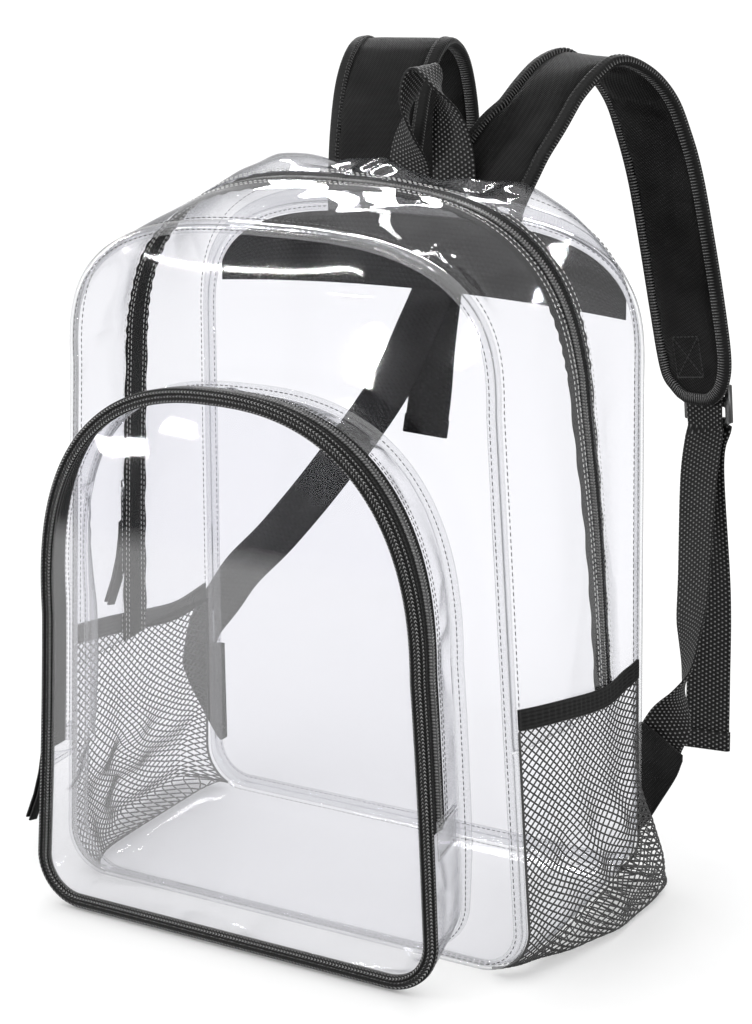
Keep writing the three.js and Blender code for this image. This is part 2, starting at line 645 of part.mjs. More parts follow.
// Front pocket
function frontPocket() {
  const end = zipTurn(pocketZipFoot, pocketShape(0), pocketCorner);
  const rim = faceY + pipingDeep / 2 + gap;
  const zipBack = rim + pocketTape;
  const onPanel = (turn) => {
    const p = plainPocket(turn, frontY);
    return frontFace(p.x, p.z) - gap * 1.6;
  };
  const over = turns(end + endCut, 2 - end - endCut);
  const low = turns(-end + endCut, end - endCut);
  add('pocket_base_gusset', strip(pocketSkin, low, 2, (turn) => [rim, onPanel(turn)], wall), 'clear');
  add('pocket_gusset', strip(pocketSkin, over, 1, (turn) => [zipBack, onPanel(turn)], wall), 'clear');
  const middle = (rim + zipBack) / 2;
  const half = pocketTape / 2 - gap;
  const profile = [
    [-half, -tapeThick], [half, -tapeThick], [half, 0], [coilHalf, 0],
    [coilHalf * 0.6, coilRise * coilSunk], [-coilHalf * 0.6, coilRise * coilSunk], [-coilHalf, 0], [-half, 0],
  ].map(([x, y]) => new THREE.Vector2(x, y));
  const rows = over.map((turn) => profile.map((p) => pocketSkin(turn, middle + p.x, p.y)));
  add('pocket_zip', loft(rows, profile), 'zip');

  const face = (turn) => arched(pocketShape(0), turn);
  const inner = (turn) => moved(face, turn, -(pipingWide + gap));
  const swell = (x, z) => faceY - bow((x + pocketDrift) * mainHalf / pocketHalf, z, pocketBow, pocketHeight);
  add('pocket_face', panel(inner, swell, wall, -1), 'clear');
  const round = pipingRound / 2 + gap;
  const rounded = [
    [-pipingWide, -1], [round, -1], [round + pipingRound, 0], [round, 1], [-pipingWide, 1], [-pipingWide, 0],
  ].map(([x, y]) => new THREE.Vector2(x, y * pipingDeep / 2));
  const rimRows = ring().map((turn) => rounded.map((p) => {
    const at = moved(face, turn, p.x);
    return new THREE.Vector3(at.x, faceY + p.y, at.y);
  }));
  add('pocket_binding', loft(rimRows, rounded, true), 'cloth');

  const flat = slabProfile(1);
  const sewn = (turn) => {
    const p = plainPocket(turn, onPanel(turn));
    return new THREE.Vector2(p.x, p.z);
  };
  const firstTurn = endCorner + 0.03;
  const flangeRows = turns(firstTurn, 2 - firstTurn).map((turn) => flat.map((p) => {
    const narrowing = 0.62 + 0.38 * Math.cos(Math.PI * (turn - firstTurn) / (2 - 2 * firstTurn));
    const at = moved(sewn, turn, gap * 2 + p.x * flangeWide * narrowing);
    return new THREE.Vector3(at.x, frontFace(at.x, at.y) - gap * 1.6 - p.y * flangeThick, at.y);
  }));
  add('pocket_flange', loft(flangeRows, flat), 'clear');

  const above = coilRise * coilSunk + gap + wall;
  const overTab = (turn, y, out) => pocketSkin(turn, y, out + above);
  for (const [name, side] of [['right', 1], ['left', -1]]) {
    const from = side * end - tabSpan * (side > 0 ? 0.62 : 0.38);
    const tab = strip(overTab, turns(from, from + tabSpan), 2, () => [rim + gap, zipBack + tabLap], wall);
    add(`pocket_zip_end_${name}`, tab, 'clear');
  }
  return middle;
}

// Side pockets of net, each with an elastic along its top
function sidePocket(name, side) {
  const from = frontY + bindWide + 2 * gap;
  const to = backY - bindWide - 2 * gap - netThick;
  const elasticTop = (y) => read(elasticRun, 'depth', y / mainDepth).high * netTop;
  const turnAt = (y, z) => {
    const { floor, corner } = mainShape(y);
    if (z > floor + corner) return zipTurn(z, mainShape(y), corner);
    const a = Math.acos(Math.min(1, 1 - (z - floor) / corner));
    return endBottom + (endCorner - endBottom) * a / (Math.PI / 2);
  };
  // A point of the net's inner face: across from the front seam to the back one, rise from the floor up.
  const netFace = (across, rise) => {
    const sag = read(netReach, 'across', across);
    const row = read(netSwell, 'rise', rise);
    const spread = share(row.out * 2);
    const y = from + (to - from) * (across + (sag.drawn - across) * spread);
    const z = (elasticTop(y) - elasticTall - gap) * row.high;
    const lift = netToe * (1 - share(rise * netRows * 1.6));
    const at = mainSkin(side * turnAt(y, z + lift), y, netClear);
    at.x += side * netBulge * row.out * sag.reach;
    return at;
  };
  const step = 0.02;
  const place = (u, v, face) => {
    const along = netFace(Math.min(1, u + step), v).sub(netFace(Math.max(0, u - step), v));
    const up = netFace(u, Math.min(1, v + step)).sub(netFace(u, Math.max(0, v - step)));
    const normal = along.cross(up).normalize().multiplyScalar(side);
    return netFace(u, v).addScaledVector(normal, face * netThick);
  };
  add(`net_pocket_${name}`, diamondNet(place), 'net');

  const profile = slabProfile(1);
  const steps = 12;
  const rows = Array.from({ length: steps + 1 }, (_, i) => {
    const y = from + (to - from) * i / steps;
    return profile.map((q) => mainSkin(
      side * turnAt(y, elasticTop(y) - elasticTall * q.x), y, netClear + q.y * elasticThick,
    ));
  });
  add(`net_elastic_${name}`, loft(rows, profile), 'webbing');
}

// A sheet pierced by staggered diamonds, with strands between them. It is built half a cell at a time, and
// place gives the point for shares across and up, and for the inner (0) or outer (1) face.
function diamondNet(place) {
  const [columns, rows] = [netColumns * 2, netRows * 2];
  const reach = [
    (1 - netStrand * 1.5 * netColumns / mainDepth) / columns,
    (1 - netStrand * 1.5 * netRows / (netTop - elasticTall)) / rows,
  ];
  const position = [];
  const index = [];
  const known = new Map();
  const vertex = ([u, v], face) => {
    const key = `${u.toFixed(5)} ${v.toFixed(5)} ${face}`;
    if (!known.has(key)) {
      known.set(key, known.size);
      position.push(...place(u, v, face).toArray());
    }
    return known.get(key);
  };
  const pierced = (a, b) => a % 2 === b % 2 && a > 0 && a < columns && b > 0 && b < rows;
  const onRim = (p, q) => [0, 1].some((k) => p[k] === q[k] && (p[k] === 0 || p[k] === 1));
  for (let i = 0; i < columns; i += 1) {
    for (let j = 0; j < rows; j += 1) {
      const square = [[i, j], [i + 1, j], [i + 1, j + 1], [i, j + 1]];
      const points = [];
      square.forEach(([a, b], k) => {
        const at = [a / columns, b / rows];
        if (!pierced(a, b)) {
          points.push({ at, open: false });
          return;
        }
        for (const [[c, d], open] of [[square[(k + 3) % 4], true], [square[(k + 1) % 4], false]]) {
          points.push({ at: [at[0] + (c - a) * reach[0], at[1] + (d - b) * reach[1]], open });
        }
      });
      const outer = points.map((p) => vertex(p.at, 1));
      const inner = points.map((p) => vertex(p.at, 0));
      for (let k = 2; k < points.length; k += 1) {
        index.push(outer[0], outer[k - 1], outer[k], inner[0], inner[k], inner[k - 1]);
      }
      points.forEach((p, k) => {
        const next = (k + 1) % points.length;
        if (p.open || onRim(p.at, points[next].at)) {
          index.push(outer[k], inner[k], inner[next], outer[k], inner[next], outer[next]);
        }
      });
    }
  }
  const geometry = new THREE.BufferGeometry();
  geometry.setAttribute('position', new THREE.Float32BufferAttribute(position, 3));
  geometry.setIndex(index);
  return outward(geometry);
}

// A band or pad swept along stations: each gives its place, the way its width lies and its width's share.
function sweep(stations, section) {
  const rows = stations.map(({ at, width, wide = 1, thick = 1 }, i) => {
    const before = stations[Math.max(i - 1, 0)].at;
    const after = stations[Math.min(i + 1, stations.length - 1)].at;
    const along = after.clone().sub(before).normalize();
    const w = width.clone().addScaledVector(along, -width.dot(along)).normalize();
    const n = along.clone().cross(w).normalize();
    return section.map((p) => at.clone().addScaledVector(w, p.x * wide).addScaledVector(n, p.y * thick));
  });
  return loft(rows, section, false, true);
}

const oblong = (wide, thick) => [[-0.5, -0.5], [0.5, -0.5], [0.5, 0.5], [-0.5, 0.5]]
  .map(([x, y]) => new THREE.Vector2(x * wide, y * thick));
const yawed = (yaw) => new THREE.Vector3(Math.cos(yaw * Math.PI / 180), Math.sin(yaw * Math.PI / 180), 0);

// A table of stations read at a number of even steps.
function stationsOf(table, steps, place) {
  const keyed = table.map((row, i) => ({ ...row, step: i }));
  return Array.from({ length: steps + 1 }, (_, i) => {
    const row = read(keyed, 'step', i / steps * (table.length - 1));
    return { ...place(row), width: yawed(row.yaw), wide: row.wide ?? 1, thick: row.thick ?? 1 };
  });
}

const seamHigh = mainSections[mainSections.length - 1].crown * mainHeight;
const strapPlace = (row) => ({
  at: new THREE.Vector3(row.out * mainHalf, backY + row.back * strapReach, seamHigh + row.up * strapRise),
});

// Shoulder strap, buckle, webbing and lower anchor of one side
function shoulderStrap(name, side, table, webTable, tailTable) {
  const stations = stationsOf(table, 24, strapPlace);
  const half = strapThick / 2;
  const pad = [
    [-0.5, -0.3], [-0.42, -0.36], [-0.34, -1], [0.34, -1], [0.42, -0.36], [0.5, -0.3],
    [0.5, 0.3], [0.42, 0.36], [0.34, 1], [-0.34, 1], [-0.42, 0.36], [-0.5, 0.3],
  ].map(([x, y]) => new THREE.Vector2(x * strapWide, y * half));
  add(`strap_${name}`, sweep(stations, pad), 'cloth');

  const last = stations[stations.length - 1];
  const down = last.at.clone().sub(stations[stations.length - 2].at).normalize();
  const width = last.width.clone().addScaledVector(down, -last.width.dot(down)).normalize();
  const out = width.clone().cross(down).normalize();
  if (out.y < 0) out.negate();
  const local = (d, n, w = 0) => last.at.clone().addScaledVector(down, d).addScaledVector(out, n)
    .addScaledVector(width, w);
  const slot = (buckleTall - 3 * buckleRail) / 2;
  const frame = new THREE.Shape(oblong(buckleWide, buckleTall));
  for (const at of [-1, 1]) {
    const middle = at * (slot + buckleRail) / 2;
    const hole = new THREE.Path();
    hole.setFromPoints(oblong(webWide + 3 * gap, slot).map((p) => new THREE.Vector2(p.x, p.y + middle)));
    frame.holes.push(hole);
  }
  const bars = new THREE.ExtrudeGeometry(frame, { depth: buckleThick, bevelEnabled: false });
  bars.deleteAttribute('normal');
  bars.deleteAttribute('uv');
  const bend = Math.hypot(buckleRail / 2, buckleThick / 2) + gap + webThick / 2;
  const top = -buckleLap;
  const plane = half + 2 * gap + webThick / 2 + bend;
  const p = bars.attributes.position;
  for (let i = 0; i < p.count; i += 1) {
    const at = local(top + buckleTall / 2 - p.getY(i), plane + p.getZ(i) - buckleThick / 2, p.getX(i));
    p.setXYZ(i, at.x, at.y, at.z);
  }
  add(`buckle_${name}`, outward(mergeVertices(bars, 1e-4)), 'plastic');

  const turnAround = (bar, way) => Array.from({ length: foldSteps + 1 }, (_, i) => {
    const a = Math.PI * i / foldSteps;
    return { at: local(bar + way * Math.sin(a) * bend, plane - Math.cos(a) * bend), width };
  });
  const topBar = top + buckleRail / 2;
  const midBar = top + buckleTall / 2;
  const sewn = top - loopLap;
  const loop = [
    { at: local(sewn, plane - bend), width },
    ...turnAround(topBar, 1),
    { at: local(sewn, plane + bend), width },
  ];
  add(`buckle_loop_${name}`, sweep(loop, oblong(webWide * 0.8, webThick)), 'webbing');

  const below = top + buckleTall + webThick * 2;
  const place = (row) => new THREE.Vector3(
    row.out * mainHalf, backY + row.back * strapReach, row.high * mainHeight,
  );
  const buckled = (n) => ({ at: local(below, plane + n), width });
  const upward = buckled(-bend);
  const downward = buckled(bend);
  const placed = (rows) => rows.map((row) => ({ ...place(row), yaw: row.yaw }));
  const point = (row) => ({ at: new THREE.Vector3(row.x, row.y, row.z) });
  const lastYaw = webTable[webTable.length - 1].yaw;
  const run = stationsOf([...placed(webTable), { ...upward.at, yaw: lastYaw }], runSteps, point);
  const tail = stationsOf([{ ...downward.at, yaw: tailTable[0].yaw }, ...placed(tailTable)], 9, point);
  const around = turnAround(midBar, -1).map((s) => ({ at: s.at, width: s.width.clone().negate() }));
  const webbing = [...run, ...around, ...tail];
  add(`webbing_${name}`, sweep(webbing, oblong(webWide, webThick)), 'webbing');

  const flat = slabProfile(1);
  const rows = anchorRows.map((row) => flat.map((q) => new THREE.Vector3(
    side * (mainHalf + row.out * tabReach[name]),
    backY + wall + bindThick + 2 * gap + row.back * tabReach[name] + q.y * tabThick,
    (row.low + (row.high - row.low) * q.x) * tabHigh,
  )));
  add(`anchor_tab_${name}`, loft(rows, flat), 'cloth');
}

// Grab handle
function handle() {
  const stations = stationsOf(handleRows, 26, (row) => ({
    at: new THREE.Vector3(
      row.across * handleWide,
      backY + wall + bindThick + 2 * gap + handleThick / 2 + row.back * handleRise,
      seamHigh + row.up * handleRise,
    ),
  }));
  add('grab_handle', sweep(stations, oblong(handleWide, handleThick)), 'webbing');
}

// Joins closed bodies that touch into one.
const wasm = await Module();
wasm.setup();
function joined(geometries) {
  const solids = geometries.map((geometry) => {
    const plain = geometry.clone();
    plain.deleteAttribute('normal');
    plain.deleteAttribute('uv');
    const merged = mergeVertices(plain, 1e-4);
    return new wasm.Manifold(new wasm.Mesh({
      numProp: 3,
      vertProperties: new Float32Array(merged.attributes.position.array),
      triVerts: new Uint32Array(merged.index.array),
    }));
  });
  const { vertProperties, triVerts } = solids.reduce((a, b) => a.add(b)).getMesh();
  const geometry = new THREE.BufferGeometry();
  geometry.setAttribute('position', new THREE.Float32BufferAttribute(vertProperties, 3));
  geometry.setIndex(Array.from(triVerts));
  return outward(geometry);
}

// A zip's slider with its pull and the pull's ribbon, hanging at a height on the left side.
// In its group +X is the way out of the zip, +Y across it to the front and +Z up along it.
function slider(name, skin, turnAt, high, across, coilTop) {
  const turn = 2 - turnAt(high);
  const at = skin(turn, across, coilTop + gap * 2);
  const up = skin(turn - 0.002, across, 0).sub(skin(turn + 0.002, across, 0)).setY(0).normalize();
  const sideways = new THREE.Vector3(0, -1, 0);
  const place = new THREE.Group();
  place.position.copy(at);
  place.setRotationFromMatrix(new THREE.Matrix4().makeBasis(sideways.clone().cross(up), sideways, up));
  group.add(place);

  const bailTop = sliderThick + bailRise;
  const bailHalf = pullWindow / 2 + bailThick + gap;
  const [foot, under] = [sliderThick / 2, bailTop - bailThick];
  const bailSide = new THREE.Shape([
    [foot, -bailHalf], [bailTop, -bailHalf], [bailTop, bailHalf], [foot, bailHalf],
    [foot, bailHalf - bailThick], [under, bailHalf - bailThick],
    [under, bailThick - bailHalf], [foot, bailThick - bailHalf],
  ].map(([x, y]) => new THREE.Vector2(x, y)));
  const bail = new THREE.ExtrudeGeometry(bailSide, { depth: bailWide, bevelEnabled: false });
  bail.translate(0, 0, -bailWide / 2).rotateX(Math.PI / 2);
  const block = new THREE.BoxGeometry(sliderThick, sliderWide, sliderLong).translate(sliderThick / 2, 0, 0);
  add(`${name}_slider`, joined([block, bail]), 'metal', place);

  const axis = sliderThick + (bailRise - bailThick) / 2;
  const hang = new THREE.Group();
  hang.position.set(axis, 0, 0);
  place.add(hang);
  const plate = new THREE.Shape([
    [-pullWide / 2, pullRail / 2], [-pullWide / 2 * 0.8, -pullLong], [pullWide / 2 * 0.8, -pullLong],
    [pullWide / 2, pullRail / 2],
  ].map(([x, y]) => new THREE.Vector2(x, y)));
  const inside = pullWide / 2 - pullRail;
  const windows = [
    [-pullRail / 2, -pullRail / 2 - pullWindow],
    [pullRail * 2.4 - pullLong, pullRail - pullLong],
  ];
  for (const [from, to] of windows) {
    const hole = new THREE.Path();
    hole.setFromPoints([[-inside, from], [inside, from], [inside * 0.9, to], [-inside * 0.9, to]]
      .map(([x, y]) => new THREE.Vector2(x, y)));
    plate.holes.push(hole);
  }
  const metal = new THREE.ExtrudeGeometry(plate, { depth: pullThick, bevelEnabled: false });
  metal.translate(0, 0, -pullThick / 2);
  metal.rotateX(Math.PI / 2);
  metal.rotateZ(Math.PI / 2);
  metal.deleteAttribute('normal');
  metal.deleteAttribute('uv');
  add(`${name}_pull`, outward(mergeVertices(metal, 1e-4)), 'metal', hang);

  const off = pullThick / 2 + gap + ribbonThick / 2;
  const bar = -pullLong + pullRail / 2;
  const fold = Array.from({ length: foldSteps + 1 }, (_, i) => {
    const a = Math.PI * i / foldSteps;
    return { x: -Math.cos(a) * off, z: bar + Math.sin(a) * off * 1.15, t: 0 };
  });
  const end = (way, length) => [1, 0.72, 0.45, 0.2, 0.05].map((t) => (
    { x: way * off * (1 - 0.28 * t), z: bar - length * t, t }
  ));
  const path = [...end(-1, ribbonLong), ...fold, ...end(1, ribbonLong * 0.97).reverse()];
  const hung = path.map(({ x, z, t }) => ({
    at: new THREE.Vector3(x + ribbonLean * t * t, ribbonDrift * t * t, z),
    width: new THREE.Vector3(0, 1, 0),
    wide: z > bar ? 0.5 : 1,
  }));
  add(`${name}_pull_ribbon`, sweep(hung, oblong(ribbonWide, ribbonThick)), 'webbing', hang);
}

compartment();
const pocketMiddle = frontPocket();
sidePocket('right', 1);
sidePocket('left', -1);
handle();
shoulderStrap('right', 1, rightStrap, rightWeb, rightTail);
shoulderStrap('left', -1, leftStrap, leftWeb, leftTail);

slider('main', mainSkin, (z) => zipTurn(z, mainShape(0), lowerCorner), mainSliderHigh,
  zipY(2 - zipTurn(mainSliderHigh, mainShape(0), lowerCorner)), coilRise - wall - tapeGap);
slider('pocket', pocketSkin, (z) => zipTurn(z, pocketShape(0.4), pocketCorner), pocketSliderHigh,
  pocketMiddle, coilRise * coilSunk);

export default group;
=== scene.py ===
"""A clear vinyl backpack with black trim, standing empty, in a plain studio. Metres, +Z up, front at -Y."""

import math

import bmesh
import bpy
import numpy as np
from mathutils import Matrix, Vector


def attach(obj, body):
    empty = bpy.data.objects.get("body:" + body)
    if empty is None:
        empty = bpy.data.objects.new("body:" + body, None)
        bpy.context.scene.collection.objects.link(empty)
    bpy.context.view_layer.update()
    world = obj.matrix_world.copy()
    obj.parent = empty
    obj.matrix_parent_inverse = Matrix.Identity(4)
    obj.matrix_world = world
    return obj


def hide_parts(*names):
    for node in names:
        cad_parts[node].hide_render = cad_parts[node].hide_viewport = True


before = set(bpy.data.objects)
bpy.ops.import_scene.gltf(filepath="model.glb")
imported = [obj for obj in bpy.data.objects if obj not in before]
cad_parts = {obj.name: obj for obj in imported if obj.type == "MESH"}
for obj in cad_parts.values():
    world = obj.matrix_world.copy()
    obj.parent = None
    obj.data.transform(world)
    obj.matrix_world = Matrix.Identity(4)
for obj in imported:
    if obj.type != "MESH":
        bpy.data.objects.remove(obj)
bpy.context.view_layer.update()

# Main compartment
MAIN_HEIGHT = 0.425
MAIN_HALF = 0.160
MAIN_DEPTH = 0.172
SEAM_LIFT = 0.007
LEAN = 0.007
LOWER_CORNER = 0.026
FRONT_Y = -MAIN_DEPTH / 2
BACK_Y = MAIN_DEPTH / 2
FRONT_BOW = 0.004
BACK_BOW = 0.005
WALL = 0.0012
FILM = 0.0006
CUT = 0.0006
GAP = 0.00035

# Main zip
ZIP_TAPE = 0.030
ZIP_WINDOW = 0.013
ZIP_FOOT = 0.137
TAPE_GAP = 0.00095
TAPE_THICK = 0.0006
COIL_HALF = 0.003
COIL_RISE = 0.0024
TOOTH_PITCH = 0.0019
ZIP_SEAMS = (-0.0125, -0.0085, 0.0085, 0.0125)

# Bindings and yoke
BIND_WIDE = 0.004
BIND_THICK = 0.0018
SECOND_SEAM = 0.004
YOKE_TALL = 0.046
YOKE_DIP = 0.008
YOKE_THICK = 0.0013

# Front pocket
POCKET_HEIGHT = 0.338
POCKET_HALF = 0.140
POCKET_DEPTH = 0.042
POCKET_CORNER = 0.030
POCKET_DRIFT = 0.007
POCKET_SWAY = 0.0034
POCKET_BOW = 0.003
POCKET_TAPE = 0.016
POCKET_ZIP_FOOT = 0.098
PIPING_WIDE = 0.007
PIPING_DEEP = 0.0055
FLANGE_WIDE = 0.008
FLANGE_THICK = 0.0009
PANEL_GAP = GAP * 1.6
END_TAB_LONG = 0.042
END_TAB_THICK = 0.0008
END_TAB_LAP = 0.008
# Where the pocket's wall buckles inwards: the turn, its reach in turns, and how deep.
POCKET_DENT_TURN = -0.43
POCKET_DENT_REACH = 0.2
POCKET_DENT_DEEP = 0.016
FACE_Y = FRONT_Y - POCKET_DEPTH

# Side pockets of net
NET_TOP = 0.166
NET_CLEAR = 0.0013
NET_BULGE = 0.022
NET_TOE = 0.003
NET_CELL_WIDE = 0.0078
NET_CELL_TALL = 0.0052
STRAND = 0.0011
NET_HEM = 0.0008
ELASTIC_TALL = 0.012
ELASTIC_THICK = 0.0018

# The pocket binding's cross-section, in shares of its width out of the outline and of half its depth back.
PIPING_SECTION = (
    (-1.0, -0.55), (-0.9, -0.95), (-0.72, -1.12), (-0.54, -1.0), (-0.44, -0.62), (-0.38, -0.58),
    (-0.28, -0.9), (-0.14, -1.0), (0.02, -0.92), (0.14, -0.62), (0.19, -0.1), (0.2, 0.5),
    (0.06, 0.95), (-0.2, 1.0), (-0.6, 0.9), (-1.0, 0.62),
)

# Straps, handle and webbing
STRAP_WIDE = 0.062
STRAP_THICK = 0.008
STRAP_RISE = 0.105
STRAP_REACH = 0.110
STRAP_EDGE = 0.0055
SEWN_BOX_LONG = 0.026
SEWN_BOX_WIDE = 0.022
SEWN_BOX_STATION = -18
STRAP_SEAM_HIGH = 0.0035
# The pads' cloth simulation
CLOTH_FRAMES = 20
PAD_VOXEL = 0.004
PAD_PRESSURE = 4.0
PAD_SWELL = 0.0022
# The folded binding's upper half from the strap's edge inwards: across and up.
STRAP_BINDING = [
    (0.0005, 0.0008), (0.0, 0.0018), (-0.0008, 0.0026), (-0.0022, 0.0031), (-0.0045, 0.0034),
    (-0.0068, 0.0035), (-0.0074, 0.0030),
]
WEB_WIDE = 0.030
WEB_THICK = 0.0016
WEB_HEM = 0.013
HANDLE_WIDE = 0.030
HANDLE_THICK = 0.0019
HANDLE_RISE = 0.092
TAB_REACH = {"right": 0.024, "left": 0.036}
TAB_HIGH = 0.101
TAB_THICK = 0.0020
BUCKLE_TALL = 0.025
BUCKLE_THICK = 0.004
BUCKLE_RAIL = 0.0034
BUCKLE_LAP = 0.012
LOOP_LAP = 0.014

SIDES = (("right", 1), ("left", -1))
AHEAD = (0.0, -1.0, 0.0)

# The photograph's camera
CAMERA_TURN = math.radians(30.95)
CAMERA_TILT = math.radians(15.8)
CAMERA_ROLL = math.radians(-0.6)
CAMERA_LENS = 87.73
CAMERA_SENSOR = 36.0
CAMERA_AWAY = 1.50997
CAMERA_AIM = Vector((0.02144, 0.0, 0.24109))


def table(columns, *rows):
    """Rows of numbers as one array for each named column. Columns that a row leaves out at its end are 1."""
    values = np.array([row + (1.0,) * (len(columns.split()) - len(row)) for row in rows], float)
    return {name: values[:, i] for i, name in enumerate(columns.split())}


# Outlines from front to back: depth is a share of MAIN_DEPTH, heights of MAIN_HEIGHT, widths of MAIN_HALF.
MAIN_SECTIONS = table(
    "depth crown spring high low floor shift power",
    (-0.5, 1.0, 0.785, 0.888, 1.0, 1.0, 1.0, 2.9),
    (-0.4, 1.015, 0.787, 0.9, 1.012, 0.3, 0.9, 2.8),
    (-0.25, 1.03, 0.79, 0.912, 1.018, 0.0, 0.75, 2.6),
    (-0.05, 1.043, 0.79, 0.922, 1.022, 0.0, 0.5, 2.5),
    (0.15, 1.052, 0.79, 0.94, 1.022, 0.0, 0.25, 2.5),
    (0.32, 1.052, 0.785, 0.96, 1.018, 0.0, 0.0, 2.6),
    (0.42, 1.032, 0.775, 0.972, 1.012, 0.2, -0.1, 2.8),
    (0.47, 1.004, 0.765, 0.976, 1.006, 0.45, -0.15, 3.0),
    (0.5, 0.97, 0.755, 0.975, 1.0, 0.75, -0.2, 3.2),
)
SEAM_HIGH = 0.97 * MAIN_HEIGHT
POCKET_SECTIONS = table(
    "along crown spring high low floor power",
    (0, 1.0, 0.56, 0.93, 1.0, 0.0, 2.4),
    (0.5, 0.991, 0.56, 0.921, 0.982, 0.45, 2.5),
    (1, 0.973, 0.56, 0.905, 0.958, 1.0, 2.7),
)
ZIP_RUN = table(
    "turn depth",
    (0.3, 0.245), (0.4, 0.19), (0.5, 0.09), (0.62, 0.035), (0.8, 0.0),
    (1.0, -0.045), (1.2, -0.06), (1.4, -0.065), (1.7, -0.07),
)
# Soft dents of the walls: reach and rise are shares of MAIN_DEPTH.
DENTS = table(
    "turn depth across reach rise",
    (0.9, 0.22, 0.05, 0.11, -0.045),
    (0.78, 0.3, 0.05, 0.1, 0.028),
    (-0.86, 0.2, 0.08, 0.16, 0.03),
    (0.72, -0.32, 0.05, 0.08, -0.03),
    (0.4, -0.18, 0.1, 0.16, 0.022),
    (0.38, 0.34, 0.09, 0.1, -0.022),
    (-0.42, 0.1, 0.12, 0.2, 0.03),
    (-0.6, -0.3, 0.05, 0.1, -0.03),
)
NET_SWELL = table(
    "rise high out",
    (0.0, 0.03, 0.0), (0.1, 0.035, 1.42), (0.2, 0.1, 1.12), (0.3, 0.2, 0.84), (0.4, 0.3, 0.6),
    (0.5, 0.4, 0.39), (0.6, 0.52, 0.21), (0.7, 0.64, 0.1), (0.8, 0.76, 0.05), (1.0, 1.0, 0.02),
)
NET_REACH = table(
    "across reach drawn",
    (0.0, 0.02, 0.0), (0.17, 0.14, 0.14), (0.33, 0.5, 0.29), (0.5, 0.84, 0.47),
    (0.67, 0.98, 0.66), (0.83, 1.0, 0.86), (0.92, 0.96, 0.985), (1.0, 0.04, 1.0),
)
ELASTIC_RUN = table(
    "depth high", (-0.5, 1.0), (-0.2, 0.945), (0.1, 0.88), (0.3, 0.855), (0.5, 0.885)
)
# Centre lines of the straps: out of MAIN_HALF, back of STRAP_REACH, up of STRAP_RISE, yaw in degrees.
STRAP_COLUMNS = "out back up yaw wide thick"
STRAPS = {
    "right": table(
        STRAP_COLUMNS,
        (0.237, 0.0755, -0.14, 0, 1.0, 0.5), (0.256, 0.086, 0.07, -2, 1.0, 0.65),
        (0.34, 0.16, 0.35, -8), (0.41, 0.24, 0.53, -14),
        (0.45, 0.36, 0.69, -18), (0.5, 0.48, 0.81, -18),
        (0.56, 0.6, 0.85, -18), (0.625, 0.745, 0.76, -18),
        (0.675, 0.86, 0.6, -18), (0.714, 0.92, 0.39, -18),
        (0.76, 0.945, 0.13, -18), (0.812, 0.955, -0.25, -18),
        (0.864, 0.955, -0.65, -18), (0.9, 0.955, -0.95, -18, 0.97),
        (0.917, 0.95, -1.1, -18, 0.84, 0.95), (0.923, 0.95, -1.19, -18, 0.58, 0.85),
        (0.925, 0.95, -1.23, -18, 0.34, 0.75),
    ),
    "left": table(
        STRAP_COLUMNS,
        (-0.225, 0.0755, -0.12, 0, 1.0, 0.5), (-0.225, 0.086, 0.07, 3, 1.0, 0.65),
        (-0.23, 0.155, 0.4, 10), (-0.25, 0.29, 0.69, 15),
        (-0.27, 0.47, 0.86, 17), (-0.282, 0.66, 0.89, 17),
        (-0.294, 0.85, 0.76, 17), (-0.306, 0.98, 0.47, 17),
        (-0.316, 1.04, 0.12, 16), (-0.318, 1.045, -0.12, 12),
        (-0.318, 1.045, -0.22, 12, 0.97), (-0.316, 1.045, -0.36, 12, 0.84, 0.95),
        (-0.315, 1.045, -0.45, 12, 0.58, 0.85), (-0.314, 1.045, -0.49, 12, 0.34, 0.75),
    ),
}
# The lower webbing from its anchor up to the buckle, and its tail from the buckle down: high of MAIN_HEIGHT.
WEB_COLUMNS = "out back high yaw"
WEBS = {
    "right": table(
        WEB_COLUMNS,
        (1.038, 0.09, 0.183, 12), (1.052, 0.098, 0.207, 14), (1.078, 0.14, 0.236, 42),
        (1.097, 0.22, 0.27, 90), (1.098, 0.315, 0.306, 121), (1.0725, 0.42, 0.357, 138),
        (1.034, 0.58, 0.4205, 150), (0.975, 0.81, 0.555, 159),
    ),
    "left": table(
        WEB_COLUMNS,
        (-1.155, 0.132, 0.165, 166), (-1.155, 0.14, 0.198, 166), (-1.13, 0.18, 0.25, 170),
        (-1.05, 0.23, 0.3, 182), (-0.98, 0.3, 0.345, 188), (-0.85, 0.43, 0.405, 190),
        (-0.66, 0.62, 0.51, 192), (-0.46, 0.83, 0.64, 192), (-0.37, 0.98, 0.74, 192),
    ),
}
TAILS = {
    "right": table(
        WEB_COLUMNS,
        (0.947, 1.0, 0.57, -14), (0.989, 0.975, 0.37, -2), (0.998, 0.96, 0.23, 4),
        (1.003, 0.95, 0.119, 6),
    ),
    "left": table(
        WEB_COLUMNS,
        (-0.33, 1.07, 0.71, 14), (-0.35, 1.06, 0.62, 16), (-0.37, 1.045, 0.555, 18),
    ),
}
ANCHOR = table(
    "out back low high",
    (-0.12, 0.0, 0.32, 1.0), (0.05, 0.0, 0.31, 0.99), (0.5, 0.09, 0.5, 0.91),
    (0.85, 0.18, 0.66, 0.84), (1.0, 0.23, 0.77, 0.81),
)
